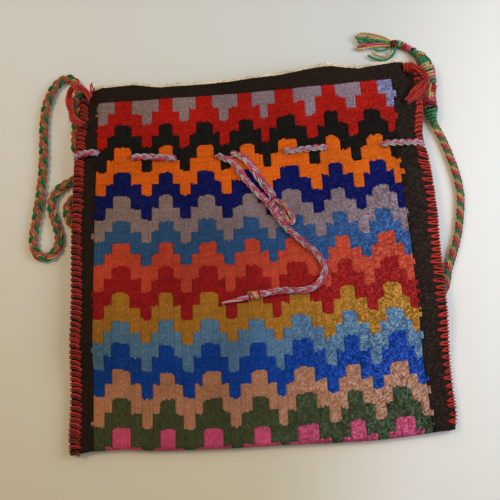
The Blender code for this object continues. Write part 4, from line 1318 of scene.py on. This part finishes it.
def right_stitches(yarns, rng):
    """Below the drawstring the stitches lie level and wide apart, above it they arch towards the
    mouth. Both yarns take the red with painted light from the window here, and now and then the
    red with painted shade."""
    lines = []
    y = FIRST_STITCH
    while y < RIGHT_STITCH_TOP:
        low = y < LEVEL_STITCHES_TOP
        near = smooth((y - 28 * MM) / (30 * MM))
        hole = (rng.uniform(5.6, 8.2) if low else rng.uniform(5.2, 6.2)) * MM
        hole = hole * mix(0.74, 1.14 if low else 1.0, smooth((y + 120 * MM) / (80 * MM)))
        rise = (rng.uniform(-0.6, 0.8) * MM + 2.2 * MM * near) if low else -1.0 * MM
        spreads = (-1.1, 1.1) if low else (-0.65, 0.65)
        arch = 0.1 * MM if low else 0.7 * MM
        for spread in np.array(spreads) * MM:
            thick = yarns.stitch_yarn / 2 * rng.uniform(0.92, 1.14)
            along = rise + (mix(0.3, 0.9, near) if low else 0.8) * spread
            reach = hole * rng.uniform(0.88, 1.0)
            line = stitch(RIGHT_EDGE, -1, y, (reach, along), spread, arch, thick)
            lines.append((line, thick, 1 if rng.random() < 0.12 else 2))
        pitch = yarns.stitch_pitch * (1.28 if low else 1.0)
        y += pitch * rng.uniform(0.85, 1.15)
    return lines


class BAG_OT_seams(bpy.types.Operator):
    """Whips both side seams with red yarn"""

    bl_idname = "bag.seams"
    bl_label = "Seam stitches"

    def execute(self, context):
        yarns = context.scene.bag_yarns
        # The red as it is, a copy with painted shade and a copy with painted light towards the window
        red = [
            spun_yarn("wool_stitch_" + name, shaded(yarns.red, share), ply_length=2.6)
            for name, share in (("red", 1.0), ("dark_red", 0.4), ("bright_red", 1.2))
        ]
        rng = np.random.default_rng(3)
        for side, stitches in (("left", left_stitches), ("right", right_stitches)):
            seam = yarn_piece(side + "_whip_stitches", stitches(yarns, rng), red)
            dress(seam, "back", side + "_seam")
        return {"FINISHED"}


MOUTH_ENDS = (-109.0 * MM, 121.0 * MM)


def mouth_line(front):
    """The middle of the cream cord along the mouth of the front or the back."""
    x = np.linspace(*MOUTH_ENDS, 300)
    y = np.pad(along_table(MOUTH_LINE, x), 4, mode="edge")
    y = np.convolve(y, np.ones(9) / 9, mode="valid")
    if front:
        z = front_height(x, y) - 1.2 * MM
    else:
        z = np.maximum(back_under(y) + CLOTH / 2, 2.0 * MM)
    return fine_curve(np.column_stack([x, y + 0.8 * MM, z])[::5], 0.4 * MM)


def twined(points):
    """Three strands of uneven thickness wound round each other."""
    run = run_along(points)
    _, side, out = levelled(points)
    lines = []
    for strand in range(3):
        wind = 2 * math.pi * (run / (3.6 * MM) + strand / 3)
        reach = 0.72 * MM * (1 + 0.3 * np.sin(run / (5.3 * MM) + 2 * strand))
        offset = side * (np.cos(wind) * reach)[:, None]
        offset = offset + out * (np.sin(wind) * reach)[:, None]
        thick = 0.68 * MM * (1 + 0.18 * np.sin(run / (1.7 * MM) + 2 * strand))
        lines.append((points + offset, thick, 0))
    return lines


def warp_loops(points, rng):
    """Where a warp turned back into the cord, a small loop of it stands out, lighter more and
    more towards the right."""
    run = run_along(points)
    lines = []
    at = 1.0 * MM
    while at < run[-1]:
        centre = sampled([at], run, points)
        wide, tall = rng.uniform(0.5, 1.1) * MM, rng.uniform(0.8, 2.4) * MM
        lift = rng.uniform(0.2, 0.9) * MM
        turn = np.linspace(0.0, math.pi, 8)[:, None]
        arc = np.hstack([np.cos(turn) * wide, np.sin(turn) * tall, np.sin(turn) * lift])
        lightened = int(centre[0, 0] > rng.uniform(20, 100) * MM)
        lines.append((centre + arc, 0.4 * MM, lightened))
        at += rng.uniform(1.3, 2.8) * MM
    return lines


class BAG_OT_mouth_edges(bpy.types.Operator):
    """Twines the cream ends of the warps along the mouth of the front and the back"""

    bl_idname = "bag.mouth_edges"
    bl_label = "Mouth edges"

    def execute(self, context):
        cream = context.scene.bag_yarns.cream
        cotton = [
            spun_yarn("cotton_cord_cream", cream, ply_length=1.8),
            spun_yarn("cotton_cord_bleached", shaded(cream, 1.3), ply_length=1.8),
        ]
        rng = np.random.default_rng(17)
        for side in ("front", "back"):
            points = mouth_line(side == "front")
            lines = twined(points) + warp_loops(points, rng)
            edge = yarn_piece(side + "_twined_edge", lines, cotton)
            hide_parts(side + "_mouth_edge")
            if side == "front":
                weigh(edge)
            else:
                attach(edge, "back")
        return {"FINISHED"}


BACK_SLITS_X = (-70.0, -48.0, 30.0, 52.0)
BACK_SLITS_Y = 77.0


def plunge(x, y, over, under, rightward=True):
    """A cord's way down through a slit, or up when it is read backwards."""
    ahead = 1 if rightward else -1
    return [
        (x - ahead * 3.4 * MM, y, over), (x - ahead * 1.3 * MM, y, over - 0.8 * MM),
        (x, y, (over + under) / 2), (x + ahead * 1.3 * MM, y, under + 0.8 * MM),
        (x + ahead * 3.4 * MM, y, under),
    ]


def drawn_cord(name, start, tail, width, repeat):
    """The stretch of a cord that a pull brings out of its slit. It is plaited as long as it is when
    drawn out, and at rest it lies gathered between the slit and the tail."""
    joint = next(joint for joint in frame["joints"] if joint["name"] == "drawstring_pull")
    pull = np.array(joint["axis"], float)
    pull *= joint["range_m"][1] / np.linalg.norm(pull)
    start, tail = np.array(start, float), np.array(tail, float)
    end = tail + pull
    points = fine_curve([start, mix(start, end, 0.35), mix(start, end, 0.7), end], CORD_STEP)
    lines = plaited(points, width * 0.94, repeat, RUN_STRANDS, 14)
    piece = yarn_piece(name, lines, drawstring_dyes())
    data = piece.data
    places = corner_places(data)
    along = end - start
    share = np.clip((places - start) @ along / along.dot(along), 0, 1)
    places -= share[:, None] * pull
    data.vertices.foreach_set("co", places.ravel().astype(np.float32))
    data.update()
    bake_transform(piece, "front", "drawstring_tails", start=tuple(start), end=tuple(tail))
    set_shares(data, share)


def seam_turn(edge, inward, y):
    """A cord's way from under the bag, round the seam and up on to the front."""
    low = STRAP_SPACE - 1.8 * MM
    return [
        (edge + inward * 7.2 * MM, y, low), (edge + inward * 3.6 * MM, y, low + 0.3 * MM),
        (edge + inward * 0.6 * MM, y, low + 2.2 * MM), (edge, y, 9.4 * MM),
        (edge + inward * 1.2 * MM, y, 13.0 * MM), (edge + inward * 4.2 * MM, y, 15.4 * MM),
    ]


def front_run(table, inward, tuck, slits, over):
    """The drawstring on one side: round the seam, then in and out of the front up to the tail."""
    between = STRAP_SPACE + CLOTH + POCKET_GAP / 2
    rightward = inward > 0
    first, second, third, last = slits
    edge = float(along_table(table, first[1])) + inward * tuck
    places = seam_turn(edge, inward, first[1])
    places.append((mix(edge, first[0], 0.6), first[1], over - 0.2 * MM))
    places += plunge(*first, over, between, rightward)
    places += plunge(*second, over, between, not rightward)[::-1]
    places += plunge(*third, over, between, rightward)
    places += plunge(*last, over, between, not rightward)[::-1][:4]
    places.append((last[0] + 4.6 * MM, last[1] - 2.2 * MM, over))
    return fine_curve(places, CORD_STEP)


def back_run(left, right):
    """The drawstring's way across the back, in and out of its slits."""
    low = STRAP_SPACE - 1.8 * MM
    under = STRAP_SPACE - 2.1 * MM
    between = STRAP_SPACE + CLOTH + POCKET_GAP / 2
    start = float(along_table(LEFT_EDGE, left[1])) + 7.8 * MM
    end = float(along_table(RIGHT_EDGE, right[1])) - 7.8 * MM
    places = [(start, left[1], low), (-90 * MM, 75 * MM, under)]
    for index, x in enumerate(BACK_SLITS_X):
        heights = (between, under) if index % 2 else (under, between)
        places += plunge(x * MM, BACK_SLITS_Y * MM, *heights)
    places += [(72 * MM, 75 * MM, under), (end, right[1], low)]
    return fine_curve(places, 0.8 * MM)


class BAG_OT_drawstring(bpy.types.Operator):
    """Threads the drawstring round the seams and through the slits of the front and the back"""

    bl_idname = "bag.drawstring"
    bl_label = "Drawstring"

    def execute(self, context):
        yarns = context.scene.bag_yarns
        dyes = drawstring_dyes()
        width, twist = yarns.drawstring_width, yarns.drawstring_twist
        slit = {name: (x * MM, y * MM) for name, (x, y) in SLITS.items()}
        over = float(front_top(slit["in_1"][1])) + width * 0.36
        for side, table, inward, tuck, number, tail in (
            ("left", LEFT_EDGE, 1, 0.6 * MM, 1, LONG_TAIL_ROUTE[1]),
            ("right", RIGHT_EDGE, -1, 1.8 * MM, 2, SHORT_TAIL_ROUTE[1]),
        ):
            names = (side, f"out_{number}", f"in_{number}", f"tail_{number}")
            points = front_run(table, inward, tuck, [slit[name] for name in names], over)
            lines = plaited(points, width, twist, RUN_STRANDS, 12)
            run = yarn_piece(f"drawstring_{side}_run", lines, dyes)
            node = f"drawstring_front_{side}"
            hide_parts(node, f"drawstring_{side}_turn")
            weigh(run)
            x, y = [mix(place, part * MM, 0.3) for place, part in zip(points[-1], tail)]
            drawn_cord(f"drawn_{side}_cord", points[-5], (x, y, over), width, twist)
        points = back_run(slit["left"], slit["right"])
        lines = plaited(points, width, twist, RUN_STRANDS, 13)
        back = yarn_piece("drawstring_back_run", lines, dyes)
        dress(back, "back", "drawstring_back")
        return {"FINISHED"}


# Wraps round the strap's end: from, to, as shares of the run, and the yarn
KNOT_WRAPS = (
    (0.0, 0.21, GREEN), (0.18, 0.27, DARK_RED), (0.24, 0.34, PINK), (0.33, 0.45, TAN),
    (0.42, 0.52, RED), (0.5, 0.58, DARK_RED), (0.55, 0.64, GREEN), (0.62, 0.66, PINK),
    (0.65, 0.84, TAN), (0.72, 0.76, DARK_GREEN), (0.82, 0.96, GREEN), (0.94, 1.0, PINK),
)
KNOT_RUNNERS = (
    (0.2, 0.56, 0.2, RED), (0.24, 0.54, 2.6, RED), (0.3, 0.56, 1.2, TAN), (0.62, 0.9, 0.1, RED),
    (0.56, 0.8, 2.7, PINK), (0.78, 1.0, 2.2, DARK_GREEN), (0.8, 1.0, 0.9, GREEN),
)
KNOB_ROUTE = ((129.4, 129.0), (131.4, 131.6), (132.6, 134.6))
TASSEL_WRAPS = (
    (0.0, 0.28, GREEN), (0.2, 0.3, DARK_GREEN), (0.28, 0.5, PINK), (0.48, 0.64, RED),
    (0.6, 0.86, GREEN), (0.7, 0.78, TAN), (0.84, 1.0, DARK_RED),
)
# Loose yarns of the tassel: yarn, radius, height of the free end, and route, in millimetres
TASSEL_STRANDS = (
    ("tassel_tan_yarn", (
        (TAN, 0.87, 3.4, (
            (112.6, 146.2), (108.0, 149.6), (101.6, 152.4), (94.6, 154.2), (90.2, 154.4),
            (88.4, 152.8), (91.0, 151.4), (97.4, 150.8), (104.6, 149.0),
        )),
        (TAN, 0.7, 4.4, ((112.0, 145.6), (106.0, 148.2), (99.6, 149.0), (94.0, 151.4))),
    )),
    ("tassel_green_yarn", (
        (GREEN, 0.98, 4.6, (
            (112.0, 145.0), (106.4, 146.6), (101.0, 148.0), (97.0, 147.0), (92.4, 149.8),
            (88.6, 149.2), (85.6, 151.4),
        )),
        (GREEN, 0.84, 3.0, (
            (112.0, 144.4), (105.6, 145.6), (99.4, 146.0), (93.8, 147.4), (89.8, 146.6),
            (87.0, 148.8),
        )),
        (DARK_GREEN, 0.77, 3.6, ((111.6, 145.2), (104.0, 146.8), (96.4, 148.4), (91.0, 148.0))),
    )),
    ("tassel_red_yarn", (
        (RED, 0.84, 3.2, ((111.0, 144.0), (104.2, 144.2), (97.4, 145.6), (91.2, 144.0), (86.4, 143.8))),
        (TAN, 0.84, 2.6, ((111.0, 143.4), (104.0, 143.6), (96.6, 143.2), (90.4, 142.0), (84.8, 142.6))),
        (PINK, 0.7, 3.8, ((110.4, 143.8), (102.6, 145.0), (95.2, 144.4), (89.6, 145.2))),
    )),
    ("tassel_loop_yarn", (
        (GREEN, 0.87, 2.4, (
            (113.6, 143.2), (113.8, 138.6), (110.8, 134.4), (105.4, 132.0), (99.4, 133.2),
            (93.4, 136.8),
        )),
        (TAN, 0.7, 2.2, ((110.8, 139.0), (108.4, 135.4), (103.2, 135.4), (96.6, 138.8))),
        (GREEN, 0.77, 2.6, ((112.4, 143.2), (108.6, 140.4), (103.4, 139.8), (98.0, 141.4))),
    )),
)
KNOB_WRAPS = ((0.0, 0.5, DARK_RED), (0.4, 1.0, DARK_RED), (0.3, 0.7, TAN))
CORNER_WRAPS = ((0.0, 0.7, RED), (0.3, 0.8, DARK_RED), (0.6, 1.0, RED))
KNOT_RADIUS = 4.4 * MM
LASHING_LOW = 6.7 * MM
LASHING_HIGH = 17.6 * MM
# The lashings: route, half their width along it, number of yarns and radius, in millimetres
LASHINGS = {
    "strap_lashing_left": (LEFT_LASHING_ROUTE, (1.5, 1.2, 1.5, 1.5, 1.7), 5, 0.85),
    "strap_lashing_right": (RIGHT_LASHING_ROUTE, (1.8, 1.6, 1.3, 3.0, 3.2, 1.2), 6, 0.9),
}


def strap_knot(dyes):
    """The wraps round the strap's end, the yarns that run lengthwise over them on the outer side
    of the bend, and the knob at its top."""
    points = fine_curve(at_height(KNOT_ROUTE, 0.0), 0.5 * MM)
    run = run_along(points)
    run = run / run[-1]
    radii = np.interp(run, np.linspace(0, 1, len(KNOT_SHARES)), KNOT_SHARES) * KNOT_RADIUS
    points[:, 2] = radii + 0.6 * MM
    lines = wrapped(points, radii - 0.9 * MM, KNOT_WRAPS, 21)
    _, side, out = levelled(points)
    for low, high, where, owner in KNOT_RUNNERS:
        inside = (run >= low) & (run <= high)
        reach = (radii[inside] - 0.3 * MM)[:, None]
        around = side[inside] * math.cos(where) + out[inside] * math.sin(where)
        lines.append((points[inside] + around * reach, 0.85 * MM, owner))
    knob = fine_curve(at_height(KNOB_ROUTE, 4.6 * MM), 0.4 * MM)
    bulge = np.sin(np.linspace(0.15, 0.88, len(knob)) * math.pi) * 3.0 * MM
    lines += wrapped(knob, bulge, KNOB_WRAPS, 22)
    return yarn_piece("strap_knot_wraps", lines, dyes)


def strap_tassel(dyes):
    """The wrapped neck of the tassel."""
    points = fine_curve(at_height(TASSEL_ROUTE, 3.5 * MM), 0.5 * MM)
    radii = np.full(len(points), 1.9 * MM)
    return yarn_piece("tassel_wraps", wrapped(points, radii, TASSEL_WRAPS, 23), dyes)


def loose_yarns(name, strands, dyes):
    """Loose yarns of the tassel, each at its own height at the free end."""
    lines = []
    for owner, thick, height, route in strands:
        levels = np.linspace(2.6, height, len(route))
        places = [(x * MM, y * MM, z * MM) for (x, y), z in zip(route, levels)]
        lines.append((fine_curve(places, 0.6 * MM), thick * MM, owner))
    return yarn_piece(name + "_plied", lines, dyes)


def corner_wraps():
    """The yarn's turns round the corner of the cloth, before it reaches the strap."""
    corner = fine_curve(at_height(CORNER_KNOT_ROUTE, 14.2 * MM), 0.4 * MM)
    bulge = np.sin(np.linspace(0.2, 0.85, len(corner)) * math.pi) * 3.2 * MM
    return wrapped(corner, bulge, CORNER_WRAPS, 24)


def lashing(name, dyes):
    """The yarns that sew the strap to a corner of the cloth."""
    route, spreads, yarns, thick = LASHINGS[name]
    places = [(x * MM, y * MM, mix(LASHING_LOW, LASHING_HIGH, lift)) for x, y, lift in route]
    lines = bundle(places, np.array(spreads) * MM, yarns, thick * MM, (RED, RED, DARK_RED))
    if name == "strap_lashing_right":
        lines += corner_wraps()
    return yarn_piece(name + "_yarn", lines, dyes)


class BAG_OT_strap_ties(bpy.types.Operator):
    """Wraps the strap's knot and tassel, frays its loose yarns and lashes both corners"""

    bl_idname = "bag.strap_ties"
    bl_label = "Strap knot and lashings"

    def execute(self, context):
        dyes = strap_dyes()
        knot, tassel = strap_knot(dyes), strap_tassel(dyes)
        dress(knot, "back", "strap_knot")
        dress(tassel, "back", "strap_tassel")
        for name, strands in TASSEL_STRANDS:
            piece = loose_yarns(name, strands, dyes)
            dress(piece, "back", name)
        line = strap_line()
        for name in LASHINGS:
            dress(lashing(name, dyes), "back", name)
        return {"FINISHED"}


def table_paint(stage):
    """Matt paint with painted light: painted shade before the fold, paler beyond the mouth and
    painted light towards the window.
    """
    made, tree, shader = new_material("painted_table_matt")
    where = add_node(tree, "TexCoord").outputs["Object"]
    place = add_node(tree, "SeparateXYZ", Vector=where)
    far = add_node(
        tree, "MapRange", interpolation_type="SMOOTHSTEP", Value=place.outputs["Y"],
        From_Min=-0.2, From_Max=0.2,
    )
    # Painted shade before the fold, fading to the paler far side
    shade = add_node(
        tree, "Mix", data_type="RGBA", Factor=far, in_6=tuple(stage.table_near),
        in_7=tuple(stage.table_far),
    ).outputs[2]
    # Painted light towards the window
    tone = add_node(
        tree, "Mix", data_type="RGBA", Factor=towards_window(tree, 0.03, 0.15, 0.0, 1.0),
        in_6=shade, in_7=tuple(stage.table_lit),
    ).outputs[2]
    feed(tree, shader.inputs["Base Color"], tone)
    grain = add_node(tree, "TexNoise", Vector=where, Scale=1400.0, Detail=2.0)
    bump = add_node(tree, "Bump", Height=grain, Strength=0.05, Distance=0.1 * MM)
    feed(tree, shader.inputs["Normal"], bump)
    shader.inputs["Roughness"].default_value = 0.7
    return made


def add_lamp(name, place, size, power, tint):
    """A square lamp that faces the middle of the table."""
    data = bpy.data.lights.new(name, "AREA")
    data.size = size
    data.energy = power
    data.color = linear(tint)[:3]
    lamp = bpy.data.objects.new(name, data)
    bpy.context.scene.collection.objects.link(lamp)
    back = unit(np.array(place))
    side = unit(np.cross(UP, back))
    turn = Matrix((side, np.cross(back, side), back)).transposed().to_4x4()
    lamp.matrix_world = Matrix.Translation(place) @ turn


def light_room(sky):
    """The room's light, and the paler room that is seen past the table."""
    world = bpy.data.worlds.new("room")
    world.use_nodes = True
    bpy.context.scene.world = world
    tree = world.node_tree
    path = add_node(tree, "LightPath")
    seen = path.outputs["Is Camera Ray"]
    for ray in ("Is Glossy Ray", "Is Transmission Ray"):
        seen = add_node(tree, "Math", operation="MAXIMUM", in_0=seen, in_1=path.outputs[ray])
    strength = add_node(tree, "MapRange", Value=seen, To_Min=sky, To_Max=0.95)
    colour = add_node(
        tree, "Mix", data_type="RGBA", Factor=seen, in_6=linear("#FFF1DA"),
        in_7=linear("#F8F6F2"),
    ).outputs[2]
    background = tree.nodes["Background"]
    feed(tree, background.inputs["Color"], colour)
    feed(tree, background.inputs["Strength"], strength)


class BAG_OT_stage(bpy.types.Operator):
    """Lays a pale table under the bag and lights it softly"""

    bl_idname = "bag.stage"
    bl_label = "Stage"

    def execute(self, context):
        stage = context.scene.bag_stage
        corners = np.array([(-1, -1, 0), (1, -1, 0), (1, 1, 0), (-1, 1, 0)]) * TABLE_REACH
        weave = np.array([(0, 0), (1, 0), (1, 1), (0, 1)])
        quad = np.array([[0, 1, 2, 3]])
        floor = mesh_piece("table", corners, quad, weave, [table_paint(stage)], [0])
        add_lamp("window", (0.42, 0.02, 0.35), 0.35, stage.window_power, "#D6EBFF")
        add_lamp("lamp", (-0.45, 0.25, 0.75), 0.25, stage.lamp_power, "#FFD69C")
        add_lamp("fill", (-0.35, 0.55, 0.5), 0.5, stage.fill_power, "#BFDFFF")
        light_room(stage.sky)
        context.scene.view_settings.view_transform = "Standard"
        return {"FINISHED"}


class BAG_PT_panel(bpy.types.Panel):
    """Lists the bag's settings and the pieces that can be made"""

    bl_idname = "BAG_PT_panel"
    bl_label = "Woven bag"
    bl_space_type = "VIEW_3D"
    bl_region_type = "UI"
    bl_category = "Woven Bag"

    def draw(self, context):
        scene = context.scene
        for group in (scene.bag_wefts, scene.bag_cloth, scene.bag_yarns, scene.bag_stage):
            box = self.layout.box()
            for name in group.__annotations__:
                box.prop(group, name)
        for operator in PIECES:
            self.layout.operator(operator.bl_idname)


PIECES = (
    BAG_OT_camera, BAG_OT_strap, BAG_OT_drawstring_tails, BAG_OT_cloth, BAG_OT_seams,
    BAG_OT_mouth_edges, BAG_OT_drawstring, BAG_OT_strap_ties, BAG_OT_stage,
)
GROUPS = (
    ("bag_wefts", WeftColours), ("bag_cloth", ClothSizes), ("bag_yarns", YarnSizes),
    ("bag_stage", StageSettings),
)


def register():
    for name, group in GROUPS:
        bpy.utils.register_class(group)
        setattr(bpy.types.Scene, name, PointerProperty(type=group))
    for operator in PIECES:
        bpy.utils.register_class(operator)
    bpy.utils.register_class(BAG_PT_panel)


def unregister():
    bpy.utils.unregister_class(BAG_PT_panel)
    for operator in reversed(PIECES):
        bpy.utils.unregister_class(operator)
    for name, group in reversed(GROUPS):
        delattr(bpy.types.Scene, name)
        bpy.utils.unregister_class(group)


def main():
    register()
    bpy.ops.bag.camera()
    bpy.ops.bag.strap()
    bpy.ops.bag.drawstring_tails()
    bpy.ops.bag.cloth()
    bpy.ops.bag.seams()
    bpy.ops.bag.mouth_edges()
    bpy.ops.bag.drawstring()
    bpy.ops.bag.strap_ties()
    bpy.ops.bag.stage()


if __name__ == "__main__":
    main()
